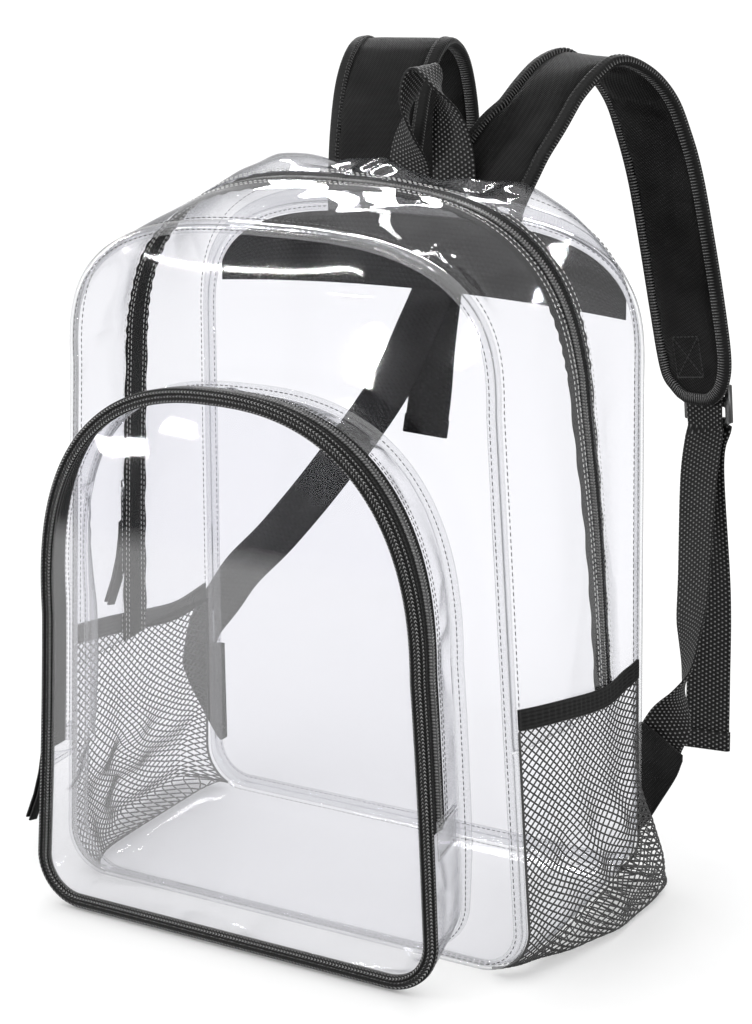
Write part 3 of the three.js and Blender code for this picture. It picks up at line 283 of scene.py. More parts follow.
HANDLE = table(
    "across back up yaw",
    (-0.2, 0.0, -0.18, 0), (-0.2, 0.0, 0.1, 0), (-0.19, -0.01, 0.3, -8), (-0.14, -0.06, 0.52, -45),
    (-0.04, -0.09, 0.74, -80), (0.14, -0.1, 0.9, -90), (0.36, -0.1, 0.95, -90),
    (0.58, -0.08, 0.86, -75), (0.74, -0.04, 0.66, -30), (0.83, -0.01, 0.42, -6),
    (0.86, 0.0, 0.12, 0), (0.86, 0.0, -0.18, 0),
)

END_BOTTOM = 0.12
END_CORNER = 0.22
END_SIDE = 0.5
ARC_PER_TURN = 0.56


def read(rows, key, at):
    """Every column of a table at places along its key column, eased between rows."""
    keys = rows[key]
    at = np.clip(np.asarray(at, float), keys[0], keys[-1])
    i = np.clip(np.searchsorted(keys, at, side="left") - 1, 0, len(keys) - 2)
    span = keys[i + 1] - keys[i]
    s = (at - keys[i]) / span
    found = {}
    for name, v in rows.items():
        slope = np.empty(len(keys))
        slope[1:-1] = (v[2:] - v[:-2]) / (keys[2:] - keys[:-2])
        slope[0] = (v[1] - v[0]) / (keys[1] - keys[0])
        slope[-1] = (v[-1] - v[-2]) / (keys[-1] - keys[-2])
        found[name] = (
            (2 * s**3 - 3 * s**2 + 1) * v[i]
            + (s**3 - 2 * s**2 + s) * span * slope[i]
            + (3 * s**2 - 2 * s**3) * v[i + 1]
            + (s**3 - s**2) * span * slope[i + 1]
        )
    return found


def unit(v):
    """Vectors with a length of one."""
    return v / np.maximum(np.linalg.norm(v, axis=-1, keepdims=True), 1e-12)


def wrapped(turn):
    return np.where(turn > 1, turn - 2, np.where(turn < -1, turn + 2, turn))


def arched(shape, turn):
    """Points of an arched outline: flat bottom, round lower corners, straight sides, square shoulders."""
    t = np.abs(wrapped(turn))
    low, high, floor = shape["low"], shape["high"], shape["floor"]
    corner, spring, crown, power = shape["corner"], shape["spring"], shape["crown"], shape["power"]
    bottom_x = (low - corner) * t / END_BOTTOM
    a = np.clip((t - END_BOTTOM) / (END_CORNER - END_BOTTOM), 0, 1) * np.pi / 2
    corner_x = low - corner + corner * np.sin(a)
    corner_z = floor + corner * (1 - np.cos(a))
    s = (t - END_CORNER) / (END_SIDE - END_CORNER)
    side_x = low + (high - low) * s
    side_z = floor + corner + (spring - floor - corner) * s
    b = np.clip((t - END_SIDE) / (1 - END_SIDE), 0, 1) * np.pi / 2
    c, d = np.maximum(np.cos(b), 1e-9), np.maximum(np.sin(b), 1e-9)
    r = 1 / (c**power + d**power) ** (1 / power)
    parts = [t < END_BOTTOM, t < END_CORNER, t < END_SIDE]
    x = np.select(parts, [bottom_x, corner_x, side_x], high * r * c)
    z = np.select(parts, [floor + 0 * t, corner_z, side_z], spring + (crown - spring) * r * d)
    side = np.where(wrapped(turn) < 0, -1, 1)
    return side * x + shape["shift"] + shape["sway"] * np.sin(np.pi * z / crown), z


def shape_of(row, tall, half, floor, shift, sway, corner):
    """An outline's measures in metres, from a row of shares of its height and half width."""
    return {
        "crown": row["crown"] * tall, "spring": row["spring"] * tall, "high": row["high"] * half,
        "low": row["low"] * half, "power": row["power"], "floor": floor, "shift": shift, "sway": sway,
        "corner": corner,
    }


def main_shape(y):
    row = read(MAIN_SECTIONS, "depth", np.asarray(y) / MAIN_DEPTH)
    floor = np.maximum(0, row["floor"]) * SEAM_LIFT
    return shape_of(row, MAIN_HEIGHT, MAIN_HALF, floor, row["shift"] * LEAN, 0.0, LOWER_CORNER)


def pocket_shape(along):
    row = read(POCKET_SECTIONS, "along", along)
    rest = BIND_THICK + GAP
    floor = rest + row["floor"] * (SEAM_LIFT + BIND_WIDE + 3 * GAP - rest)
    return shape_of(row, POCKET_HEIGHT, POCKET_HALF, floor, -POCKET_DRIFT, POCKET_SWAY, POCKET_CORNER)


def point(x, y, z):
    """Places from their coordinates, which may differ in shape."""
    return np.stack(np.broadcast_arrays(x, y, z), -1)


def plain_main(turn, y):
    x, z = arched(main_shape(y), turn)
    return point(x, y, z)


def plain_pocket(turn, y):
    x, z = arched(pocket_shape((y - FACE_Y) / POCKET_DEPTH), turn)
    return point(x, y, z)


def normals(surface, turn, y):
    step, deep = 0.004, 0.001
    du = surface(turn + step, y) - surface(turn - step, y)
    dv = surface(turn, y + deep) - surface(turn, y - deep)
    return unit(np.cross(dv, du))


def main_skin(turn, y, out=0.0):
    """The compartment's outer surface with its dents, lifted by a distance out of the wall."""
    turn, y = np.broadcast_arrays(np.asarray(turn, float), np.asarray(y, float))
    near_seam = np.clip((MAIN_DEPTH / 2 - np.abs(y)) / (MAIN_DEPTH * 0.12), 0, 1)
    near_floor = np.clip((np.abs(wrapped(turn)) - END_BOTTOM) / (END_CORNER - END_BOTTOM), 0, 1)
    rise = np.zeros(turn.shape)
    for t, d, across, reach, high in zip(*DENTS.values()):
        du = (wrapped(turn) - t) / across
        dv = (y / MAIN_DEPTH - d) / reach
        rise = rise + high * MAIN_DEPTH * np.exp(-(du * du + dv * dv) / 2)
    lift = rise * near_seam * near_floor + out
    return plain_main(turn, y) + normals(plain_main, turn, y) * lift[..., None]


def pocket_skin(turn, y, out=0.0):
    turn, y = np.broadcast_arrays(np.asarray(turn, float), np.asarray(y, float))
    lift = np.broadcast_to(out, turn.shape)
    return plain_pocket(turn, y) + normals(plain_pocket, turn, y) * lift[..., None]


def bow(x, z, most, top):
    a = np.maximum(0, 1 - (x / MAIN_HALF) ** 2)
    return most * a * np.sin(np.pi * np.clip(z / top, 0, 1))


def front_face(x, z):
    return FRONT_Y - WALL - bow(x - LEAN, z, FRONT_BOW, MAIN_HEIGHT)


def back_face(x, z):
    return BACK_Y + WALL + bow(x, z, BACK_BOW, MAIN_HEIGHT * 0.83)


def pocket_face(x, z):
    return FACE_Y - bow((x + POCKET_DRIFT) * MAIN_HALF / POCKET_HALF, z, POCKET_BOW, POCKET_HEIGHT)


def turn_at(high, shape):
    """The turn at which an outline's straight side has a height."""
    foot = shape["floor"] + shape["corner"]
    return END_CORNER + (END_SIDE - END_CORNER) * (high - foot) / (shape["spring"] - foot)


ZIP_END = float(turn_at(ZIP_FOOT, main_shape(0.0)))
POCKET_END = float(turn_at(POCKET_ZIP_FOOT, pocket_shape(0.0)))
POCKET_RIM = FACE_Y + PIPING_DEEP / 2 + GAP
POCKET_ZIP_BACK = POCKET_RIM + POCKET_TAPE
POCKET_ZIP_MIDDLE = POCKET_RIM + POCKET_TAPE / 2


def zip_y(turn):
    return read(ZIP_RUN, "turn", turn)["depth"] * MAIN_DEPTH


def in_plane(outline, turn, out):
    """Points of a flat outline moved out of it in its own plane."""
    x, z = outline(turn)
    x1, z1 = outline(turn + 0.003)
    x0, z0 = outline(turn - 0.003)
    d = unit(np.stack([x1 - x0, z1 - z0], -1))
    return x + d[..., 1] * out, z - d[..., 0] * out


def creases(u, v, count, region, long, wide, high, seed):
    """The height of many short sharp folds that lie at random over a region of u and v, in metres."""
    chance = np.random.default_rng(seed)
    (u0, u1), (v0, v1) = region
    total = np.zeros(np.broadcast(u, v).shape)
    for _ in range(count):
        cu, cv = chance.uniform(u0, u1), chance.uniform(v0, v1)
        way = chance.uniform(0, np.pi)
        length, width = long * chance.uniform(0.5, 1.5), wide * chance.uniform(0.6, 1.6)
        height = high * chance.uniform(-1, 1)
        along = (u - cu) * np.cos(way) + (v - cv) * np.sin(way)
        over = (v - cv) * np.cos(way) - (u - cu) * np.sin(way)
        bend = over + 0.25 * along**2 / length
        total += height * np.exp(-((along / length) ** 2)) / (1 + (bend / width) ** 2)
    return total


def added(name, data):
    """A new object in the scene."""
    thing = bpy.data.objects.new(name, data)
    bpy.context.scene.collection.objects.link(thing)
    return thing


def smooth(mesh):
    mesh.polygons.foreach_set("use_smooth", np.ones(len(mesh.polygons), bool))


def fill_mesh(name, points, faces, material, uv=None):
    """A smooth mesh object from arrays, with the corner uv of each face if given."""
    points = np.asarray(points, float).reshape(-1, 3)
    corners = np.concatenate([np.asarray(f).ravel() for f in faces])
    sizes = np.concatenate([np.full(len(f), f.shape[1]) for f in faces])
    starts = np.concatenate([[0], np.cumsum(sizes)[:-1]])
    mesh = bpy.data.meshes.new(name)
    mesh.vertices.add(len(points))
    mesh.vertices.foreach_set("co", points.ravel())
    mesh.loops.add(len(corners))
    mesh.loops.foreach_set("vertex_index", corners.astype(np.int32))
    mesh.polygons.add(len(sizes))
    mesh.polygons.foreach_set("loop_start", starts.astype(np.int32))
    mesh.update(calc_edges=True)
    if uv is not None:
        layer = mesh.uv_layers.new(name="UVMap")
        layer.data.foreach_set("uv", np.concatenate([u.reshape(-1, 2) for u in uv]).ravel())
    mesh.validate()
    smooth(mesh)
    mesh.materials.append(material)
    return added(name, mesh)


def turned_out(thing):
    """Turns a closed body's faces out, if the volume they enclose comes out negative."""
    work = bmesh.new()
    work.from_mesh(thing.data)
    if work.calc_volume(signed=True) < 0:
        bmesh.ops.reverse_faces(work, faces=work.faces)
        work.to_mesh(thing.data)
    work.free()
    return thing


def lengths(points):
    """Distance from the first point along a row of points."""
    steps = np.linalg.norm(np.diff(points, axis=0), axis=1)
    return np.concatenate([[0], np.cumsum(steps)])


def round_trip(points):
    """Distance along a closed row of points, back to the first one."""
    return lengths(np.concatenate([points, points[:1]]))


def skinned(name, rings, along, across, material, ends):
    """A closed body through rings of points, with uv in metres. ends are the faces and uv of its ends."""
    n, k, _ = rings.shape
    i, j = np.indices((n - 1 if ends else n, k)).reshape(2, -1)
    ii, jj = (i + 1) % n, (j + 1) % k
    quads = np.stack([i * k + j, i * k + jj, ii * k + jj, ii * k + j], 1)
    uv = np.stack([along[i[:, None] + [0, 0, 1, 1]], across[j[:, None] + [0, 1, 1, 0]]], -1)
    faces, uvs = zip((quads, uv), *ends)
    return turned_out(fill_mesh(name, rings, faces, material, uvs))


def loft(name, rings, material, closed=False):
    """A body through rings of points. closed joins the last ring to the first. If not, ends are filled."""
    n, k, _ = rings.shape
    around = round_trip(rings[n // 2])
    flat = np.stack([np.zeros(k), around[:k]], 1)[None]
    first = np.arange(k)[None]
    ends = [] if closed else [(first[:, ::-1], flat), (first + (n - 1) * k, flat)]
    return skinned(name, rings, round_trip(rings[:, 0]), around, material, ends)


def slab(name, outer, inner, material):
    """A closed sheet between two grids of points."""
    n, m, _ = outer.shape
    k = 2 * m
    rings = np.concatenate([outer, inner[:, ::-1]], axis=1)
    along, across = round_trip(outer[:, m // 2]), round_trip(rings[n // 2])
    half = across[m - 1]
    across[m:] = np.clip(half - (across[m:] - across[m]), 0, half)
    p = np.arange(m - 1)
    ends = []
    for row, way in ((0, -1), (n - 1, 1)):
        cap = row * k + np.stack([p, k - 1 - p, k - 2 - p, p + 1], 1)
        edge = np.stack([np.full(m - 1, along[row]), across[p]], 1)
        ends.append((cap[:, ::way], np.repeat(edge[:, None], 4, axis=1)))
    return skinned(name, rings, along, across, material, ends)


def wall(name, skin, turns, ys, outer, inner, material):
    """A thin wall on a skin, between two distances out of it."""
    return slab(name, skin(turns, ys, outer), skin(turns, ys, inner), material)


def scattered(name, shape, faces, origins, axes, material):
    """Copies of a small closed form at many places: axes holds each copy's three directions, scaled."""
    shape = np.asarray(shape, float)
    points = origins[:, None, :] + np.einsum("vk,nkd->nvd", shape, axes)
    count = len(shape)
    offsets = (np.arange(len(origins)) * count)[:, None, None]
    return fill_mesh(name, points, [(f[None] + offsets).reshape(-1, f.shape[1]) for f in faces], material)


def capsule(sides):
    """A bead of unit half length along the first axis and unit radius, as points and faces."""
    a = np.arange(sides) * 2 * np.pi / sides
    ends = ((-0.96, 0.45), (-0.6, 1.0), (0.6, 1.0), (0.96, 0.45))
    rings = [point(x, r * np.cos(a), r * np.sin(a)) for x, r in ends]
    j = np.arange(sides)
    jj = (j + 1) % sides
    quads = [np.stack([j, sides + j, sides + jj, jj], 1) + i * sides for i in range(3)]
    return np.concatenate(rings), [np.concatenate(quads), np.stack([j, 3 * sides + j[::-1]])]


def resampled(points, pitch, *others):
    """Points at even steps along a line, and the same of anything that goes with them."""
    s = lengths(points)
    at = np.arange(pitch / 2, s[-1], pitch)
    every = []
    for values in (points, *others):
        every.append(np.stack([np.interp(at, s, values[:, c]) for c in range(values.shape[1])], 1))
    return every


def same(direction, points):
    """One direction for every point of a row."""
    return np.tile(direction, (len(points), 1))


def stitches(name, points, up, material, pitch=0.0038, share=0.68, radius=0.00032):
    """Thread that shows as a row of short beads along a line, on the side that up gives."""
    place, lift = resampled(points, pitch, up)
    along = unit(np.gradient(place, axis=0))
    lift = unit(lift)
    side = unit(np.cross(lift, along))
    axes = np.stack([along * pitch * share / 2, side * radius, lift * radius], 1)
    return scattered(name, *capsule(4), place, axes, material)


def dressed(thing, slot, *stands_for, body="bag"):
    """Puts a piece on its body and hides the solids that it stands for. A clear vinyl piece other than
    stitching casts no shadow and is not seen by diffuse rays.
    """
    if slot == "clear_vinyl" and "stitches" not in thing.name:
        thing.visible_shadow = False
        thing.visible_diffuse = False
    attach(thing, body)
    if stands_for:
        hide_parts(*stands_for)
    return thing


class Look:
    """A node material that is built up by name."""

    def __init__(self, name):
        self.material = bpy.data.materials.new(name)
        self.material.use_nodes = True
        self.tree = self.material.node_tree
        self.tree.nodes.clear()
        self.output = self.tree.nodes.new("ShaderNodeOutputMaterial")

    def node(self, kind, settings=(), **inputs):
        made = self.tree.nodes.new("ShaderNode" + kind)
        for name, value in dict(settings).items():
            setattr(made, name, value)
        for name, value in inputs.items():
            self.feed(made, name.replace("_", " "), value)
        return made

    def feed(self, made, name, value):
        socket = made.inputs[int(name[1:])] if name[0] == "i" and name[1:].isdigit() else made.inputs[name]
        if isinstance(value, bpy.types.NodeSocket):
            self.tree.links.new(value, socket)
        elif isinstance(value, bpy.types.Node):
            self.tree.links.new(value.outputs[0], socket)
        else:
            socket.default_value = value

    def math(self, operation, a, b=0.0, c=0.0):
        return self.node("Math", {"operation": operation}, i0=a, i1=b, i2=c).outputs[0]

    def ramp(self, value, *stops):
        made = self.node("ValToRGB", Fac=value)
        while len(made.color_ramp.elements) < len(stops):
            made.color_ramp.elements.new(0.5)
        for element, (place, colour) in zip(made.color_ramp.elements, stops):
            element.position = place
            element.color = colour if len(colour) == 4 else (*colour, 1)
        return made.outputs[0]

    def coords(self, kind="Object"):
        return self.node("TexCoord").outputs[kind]

    def noise(self, where, scale, detail=2.0, rough=0.5, stretch=(1, 1, 1)):
        placed = self.node("Mapping", Vector=where, Scale=stretch)
        made = self.node("TexNoise", Vector=placed, Scale=scale, Detail=detail, Roughness=rough)
        return made.outputs["Fac"]

    def bump(self, height, distance, strength=1.0, normal=None):
        made = self.node("Bump", Height=height, Distance=distance, Strength=strength)
        if normal is not None:
            self.feed(made, "Normal", normal)
        return made.outputs[0]

    def finish(self, kind, **inputs):
        self.feed(self.output, "Surface", self.node(kind, **inputs))
        return self.material


SHINE = 0.005
TINT = (0.951, 0.951, 0.961)
EDGE = (0.5, 0.51, 0.53)


def grey(value):
    return (value, value, value, 1)


def vinyl(name, tint, edge, ripple, steep=9.0, grain=0.0, haze_and_painted_reflection=0.0, haze_and_reflection_top=1.0):
    """Clear soft vinyl: it lets sight through, shines, darkens at folds, and has a milky diffuse layer up to
    a height, which is partly haze and partly a painted reflection.
    """
    look = Look(name)
    where = look.coords()
    normal = look.bump(look.noise(where, 9.0, 1.0, 0.5, (1, 1, 0.6)), 0.005 * ripple)
    if grain:
        normal = look.bump(look.noise(where, 70.0, 2.0, 0.5, (1, 1, 0.35)), 0.003 * grain, 1.0, normal)
    facing = look.node("LayerWeight", Blend=0.5, Normal=normal).outputs["Facing"]
    rim = look.math("POWER", facing, steep)
    clear = look.node("BsdfTransparent", Color=look.ramp(rim, (0.0, tint), (0.8, edge)))
    # Diffuse grey layer below a height: the film's milky haze, and a painted reflection where it lightens the
    # bindings and the pocket's lower face.
    if haze_and_painted_reflection:
        high = look.node("SeparateXYZ", Vector=where).outputs[2]
        low = look.math("MULTIPLY_ADD", high, -60.0, haze_and_reflection_top * 60.0 + 0.5)
        share = look.math("MULTIPLY", look.math("MINIMUM", look.math("MAXIMUM", low, 0.0), 1.0), haze_and_painted_reflection)
        clear = look.node("MixShader", i0=share, i1=clear, i2=look.node("BsdfDiffuse", Color=grey(0.86)))
    gloss = look.node("BsdfGlossy", Color=grey(1.0), Roughness=0.03, Normal=normal)
    shine = look.math("MULTIPLY_ADD", rim, 0.6, SHINE)
    return look.finish("MixShader", i0=shine, i1=clear, i2=gloss)


def cloth(name, dark, light, pitch):
    """Fine twill by object coordinates, which needs no uv. Its ribs are painted lighter, a painted highlight,
    over random blotchy tone.
    """
    look = Look(name)
    where = look.coords()
    split = look.node("SeparateXYZ", Vector=where)
    slant = look.math("ADD", look.math("ADD", split.outputs[0], split.outputs[1]), split.outputs[2])
    cross = look.math("SUBTRACT", look.math("ADD", split.outputs[0], split.outputs[1]), split.outputs[2])
    turn = 2 * math.pi / pitch
    ribs = look.math("SINE", look.math("MULTIPLY", slant, turn))
    weft = look.math("SINE", look.math("MULTIPLY", cross, turn * 0.5))
    weave = look.math("MULTIPLY_ADD", weft, 0.35, ribs)
    worn = look.noise(where, 30.0, 4.0, 0.65)
    tone_and_painted_highlight = look.math("MULTIPLY_ADD", weave, 0.22, look.math("MULTIPLY", worn, 0.8))
    # Painted highlight along the lighter twill ribs, mixed with random blotchy tone.
    colour = look.ramp(tone_and_painted_highlight, (0.25, dark), (0.8, light))
    normal = look.bump(look.noise(where, 900.0, 2.0), 0.0001, 0.6, look.bump(weave, 0.00012))
    return look.finish(
        "BsdfPrincipled", Base_Color=colour, Roughness=0.8, Normal=normal, Sheen_Weight=0.015,
        Sheen_Roughness=0.45, Specular_IOR_Level=0.07,
    )


def woven(name, dark, light, along, across, deep, rough, stagger=True, slant=0.0, bare=0.45):
    """Coarse weave by uv in metres: rows of raised yarns, each row shifted by half a yarn or slanted. The
    raised yarns' tops take the light colour: painted highlights on a dark weave.
    """
    look = Look(name)
    split = look.node("SeparateXYZ", Vector=look.coords("UV"))
    where = look.coords()
    u = look.math("DIVIDE", split.outputs[0], along)
    v = look.math("DIVIDE", split.outputs[1], across)
    if stagger:
        u = look.math("MULTIPLY_ADD", look.math("FLOOR", v), 0.5, u)
    if slant:
        ridge = look.math("ABSOLUTE", look.math("SUBTRACT", look.math("FRACT", v), 0.5))
        u = look.math("MULTIPLY_ADD", ridge, slant, u)
    a = look.math("SINE", look.math("MULTIPLY", u, 2 * math.pi))
    b = look.math("SINE", look.math("MULTIPLY", look.math("FRACT", v), math.pi))
    yarn = look.math("MULTIPLY", look.math("MULTIPLY_ADD", a, 0.5, 0.5), b)
    fibre = look.noise(where, 900.0, 3.0, 0.7)
    tone_and_painted_highlight = look.math("MULTIPLY_ADD", fibre, 0.3, look.math("MULTIPLY", yarn, 0.8))
    # Painted highlight: the light colour goes on the yarn tops; the fine fibre noise is random tone.
    colour = look.ramp(tone_and_painted_highlight, (bare, dark), (1.0, light))
    normal = look.bump(fibre, 0.0001, 0.6, look.bump(yarn, deep))
    return look.finish(
        "BsdfPrincipled", Base_Color=colour, Roughness=rough, Normal=normal, Sheen_Weight=0.01,
        Specular_IOR_Level=0.12,
    )


def solid(name, dark, light, rough, metal=0.0, grain=60.0, deep=0.00005, coat=0.0):
    """Moulded plastic, lacquered metal or thread, with faint marks."""
    look = Look(name)
    where = look.coords()
    marks = look.noise(where, grain, 4.0, 0.6)
    colour = look.ramp(marks, (0.3, dark), (0.75, light))
    uneven = look.math("MULTIPLY_ADD", marks, 0.25, rough - 0.12)
    normal = look.bump(look.noise(where, grain * 8, 2.0), deep, 0.6)
    return look.finish(
        "BsdfPrincipled", Base_Color=colour, Roughness=uneven, Normal=normal, Metallic=metal, Coat_Weight=coat
    )


CLEAR = vinyl("clear_vinyl", TINT, EDGE, 0.12)
# The base's film is tinted clearer than the rest to lift the shaded floor seen through it: painted light.
BASE_CLEAR_PAINTED_LIGHT = vinyl("base_vinyl_painted_light", (0.984, 0.984, 0.992), EDGE, 0.12)
# The pocket's face is clouded below 0.245 m: a painted reflection over its lower part.
POCKET_CLEAR_PAINTED_REFLECTION = vinyl("pocket_vinyl_painted_reflection", TINT, EDGE, 0.12, 9.0, 0.0, 0.1, 0.245)
CRUMPLED = vinyl("crumpled_vinyl", TINT, (0.15, 0.16, 0.19), 0.5, 7.0, 0.0, 0.025)
BUCKLED = vinyl("buckled_vinyl", TINT, (0.12, 0.13, 0.15), 0.6, 4.5, 0.0, 0.06)
# The bindings' milky layer is a painted reflection that shows them as a pale band over dark parts.
BOUND_PAINTED_REFLECTION = vinyl("vinyl_binding_painted_reflection", (0.93, 0.932, 0.942), (0.08, 0.085, 0.1), 0.9, 6.0, 0.04, 0.11)
CLOTH = cloth("strap_cloth", grey(0.001), grey(0.022), 0.0016)
RIBBED = woven("ribbed_binding", grey(0.002), grey(0.3), 0.0019, 0.02, 0.0007, 0.8, False, 0.0, 0.5)
CORDED = woven("corded_binding", grey(0.001), grey(0.5), 0.0021, 0.0034, 0.0006, 0.85, False, 2.2, 0.62)
WEBBING = woven("webbing_weave", grey(0.001), grey(0.26), 0.0030, 0.0026, 0.0006, 0.8, True, 0.0, 0.6)
YOKE_WEAVE = woven("yoke_weave", grey(0.001), grey(0.025), 0.0036, 0.003, 0.0004, 0.8)
BAND = woven("elastic_weave", grey(0.001), grey(0.035), 0.0008, 0.0024, 0.0004, 0.85, False)
TWILL = woven("tape_twill", grey(0.001), grey(0.03), 0.0016, 0.0018, 0.0002, 0.85, False, 2.0)
NET = solid("net_strand", grey(0.002), grey(0.006), 0.7)
# The coil's heads are light grey on a black coil in place of their highlights: painted highlight.
COIL_PAINTED_HIGHLIGHT = solid("nylon_coil_painted_highlight", grey(0.06), grey(0.22), 0.35, 0.0, 300.0)
CORE = solid("zip_core", grey(0.002), grey(0.004), 0.6)
PLASTIC = solid("moulded_plastic", grey(0.005), grey(0.012), 0.4)
METAL = solid("lacquered_metal", grey(0.012), grey(0.03), 0.3, 0.6, 90.0, 0.00003, 0.5)
THREAD = solid("pale_thread", grey(0.6), grey(0.85), 0.5)
SEAM_THREAD = solid("grey_thread", grey(0.02), grey(0.08), 0.6)
BLACK_THREAD = solid("black_thread", grey(0.002), grey(0.006), 0.8)


def steps(start, end, count):
    return np.linspace(start, end, count)


# Folds of the film: how many, where in u and v, their length, width and height, and their seed.
CREASES = {
    "crown": (13, ((0.74 * ARC_PER_TURN, ARC_PER_TURN * 1.02), (-0.03, 0.084)), 0.045, 0.011, 0.0065, 3),
    "knot": (26, ((0.40, 0.47), (-0.086, -0.05)), 0.015, 0.0025, 0.0045, 17),
    "shoulder": (12, ((0.43, 0.53), (0.01, 0.08)), 0.04, 0.009, 0.007, 19),
    "all_over": (60, ((-ARC_PER_TURN, ARC_PER_TURN), (-0.085, 0.085)), 0.04, 0.009, 0.0010, 5),
    "front_wall": (22, ((-0.15, 0.15), (0.0, 0.42)), 0.09, 0.018, 0.0007, 11),
    "back_wall": (22, ((-0.15, 0.15), (0.0, 0.42)), 0.09, 0.018, 0.0007, 12),
    "pocket_front": (24, ((-0.14, 0.13), (0.0, 0.33)), 0.08, 0.016, 0.0006, 21),
}


def spot(u, v, at_turn, at_v, wide, high):
    """One at a place of the unrolled skin, falling to nothing around it."""
    return np.exp(-(((u - at_turn * ARC_PER_TURN) / wide) ** 2) - ((v - at_v) / high) ** 2)


def wrinkled_main(turn, y, out=0.0):
    """The compartment's skin with the small creases that the folded bag keeps."""
    u, v = wrapped(turn) * ARC_PER_TURN, np.asarray(y, float)
    top = np.exp(-(((np.abs(u) - ARC_PER_TURN) / 0.16) ** 2))
    lift = creases(np.abs(u), v, *CREASES["crown"]) * top
    lift = lift + spot(u, v, 0.779, -0.07, 0.02, 0.02) * creases(u, v, *CREASES["knot"])
    lift = lift + spot(u, v, 0.86, 0.045, 0.05, 0.03) * creases(u, v, *CREASES["shoulder"])
    lift = lift + creases(u, v, *CREASES["all_over"])
    held = np.clip((MAIN_DEPTH / 2 - np.abs(v)) / 0.010, 0, 1)
    at_zip = np.clip((np.abs(v - zip_y(np.where(turn < 0, 0.3, turn))) - ZIP_TAPE / 2) / 0.012, 0, 1)
    on_side = np.clip((np.abs(wrapped(turn)) - END_BOTTOM) / 0.05, 0.5, 1)
    return main_skin(turn, y, out + lift * held * at_zip * on_side)


def main_walls():
    """The gussets of the main compartment, one strip below the zip's ends and two above them."""
    first, last = FRONT_Y + GAP, BACK_Y - GAP
    low = steps(-ZIP_END + CUT, ZIP_END - CUT, 260)[:, None]
    over = steps(ZIP_END + CUT, 2 - ZIP_END - CUT, 520)[:, None]
    middle, half = zip_y(over), ZIP_WINDOW / 2
    front = first + (middle - half - first) * steps(0, 1, 24)[None]
    rear = middle + half + (last - middle - half) * steps(0, 1, 34)[None]
    for name, turns, ys, material, node in (
        ("base_wall", low, steps(first, last, 40)[None], BASE_CLEAR_PAINTED_LIGHT, "base_gusset"),
        ("front_zip_wall", over, front, CRUMPLED, "zip_gusset_front"),
        ("rear_zip_wall", over, rear, CRUMPLED, "zip_gusset_rear"),
    ):
        dressed(wall(name, wrinkled_main, turns, ys, 0.0, -FILM, material), "clear_vinyl", node)


POCKET_LOW = steps(-POCKET_END + CUT, POCKET_END - CUT, 220)
POCKET_OVER = steps(POCKET_END + CUT, 2 - POCKET_END - CUT, 360)


def panel_grid(outline, rows, columns):
    """x and z over the inside of an outline, straight across below and bent like its arch at the top."""
    last = 0.985
    turn = steps(END_BOTTOM, last, rows)[:, None]
    span = steps(-1, 1, columns)[None]
    right, left = outline(turn), outline(-turn)
    chord = [l + (r - l) * (span + 1) / 2 for l, r in zip(left, right)]
    arc = outline(1 - (1 - turn) * span)
    w = np.clip((turn - END_SIDE) / (last - END_SIDE), 0, 1) ** 2
    return [c + (a - c) * w for c, a in zip(chord, arc)]


def panel(name, x, z, face, inset, margin, sides, material, node):
    """A flat wall with soft creases that fade towards its edges, between two depths from its face."""
    edge = np.clip(inset / margin, 0, 1) * np.clip(z / margin, 0, 1)
    base = face + creases(x, z, *CREASES[name]) * edge * 0.6
    outer, inner = (point(x, base + side, z) for side in sides)
    dressed(slab(name, outer, inner, material), "clear_vinyl", node)


def panels():
    """The front and back panels."""
    for name, y, face, away, node in (
        ("front_wall", FRONT_Y, front_face, 1, "front_panel"),
        ("back_wall", BACK_Y, back_face, -1, "back_panel"),
    ):
        x, z = panel_grid(lambda t, y=y: arched(main_shape(y), t), 110, 90)
        panel(name, x, z, face(x, z), MAIN_HALF - np.abs(x), 0.03, (0, away * FILM), CLEAR, node)


def seam_rings(outline, y, face, away, turns):
    """The cross-section of a folded binding at each turn, over a panel's edge and the gusset's."""
    lap = BIND_WIDE

    def side(back, out):
        return main_skin(turns, y - away * back, out)

    def over(inward, out):
        x, z = in_plane(outline, turns, inward)
        return point(x, face(x, z) + away * out, z)

    low, high = GAP, GAP + BIND_THICK
    half = low + BIND_THICK * 0.5
    return np.stack([
        side(lap, low), side(lap, half), side(lap * 0.7, high), side(0, high),
        (over(high, high) * 2 + side(0, high)) / 3, over(high * 0.6, high), over(-lap * 0.7, high),
        over(-lap, half), over(-lap, low), over(low, low),
    ], 1)


def seams():
    """The clear bindings round the front and back panels, with their stitching."""
    turns = steps(-1, 1, 481)[:-1]
    for name, y, face, away, node in (
        ("front_binding", FRONT_Y, front_face, -1, "front_seam_binding"),
        ("back_binding", BACK_Y, back_face, 1, "back_seam_binding"),
    ):
        outline = lambda t, y=y: arched(main_shape(y), t)
        rings = seam_rings(outline, y, face, away, turns)
        dressed(loft(name, rings, BOUND_PAINTED_REFLECTION, closed=True), "clear_vinyl", node)
        x, z = in_plane(outline, turns, -BIND_WIDE * 0.45)
        line = point(x, face(x, z) + away * (GAP + BIND_THICK), z)
        up = same((0.0, away, 0.0), line)
        dressed(stitches(name + "_stitches", line, up, SEAM_THREAD), "clear_vinyl")
        beside = y - away * (BIND_WIDE + SECOND_SEAM)
        line, up = main_skin(turns, beside, GAP), normals(plain_main, turns, np.full(len(turns), beside))
        dressed(stitches(name + "_second_stitches", line, up, SEAM_THREAD), "clear_vinyl")


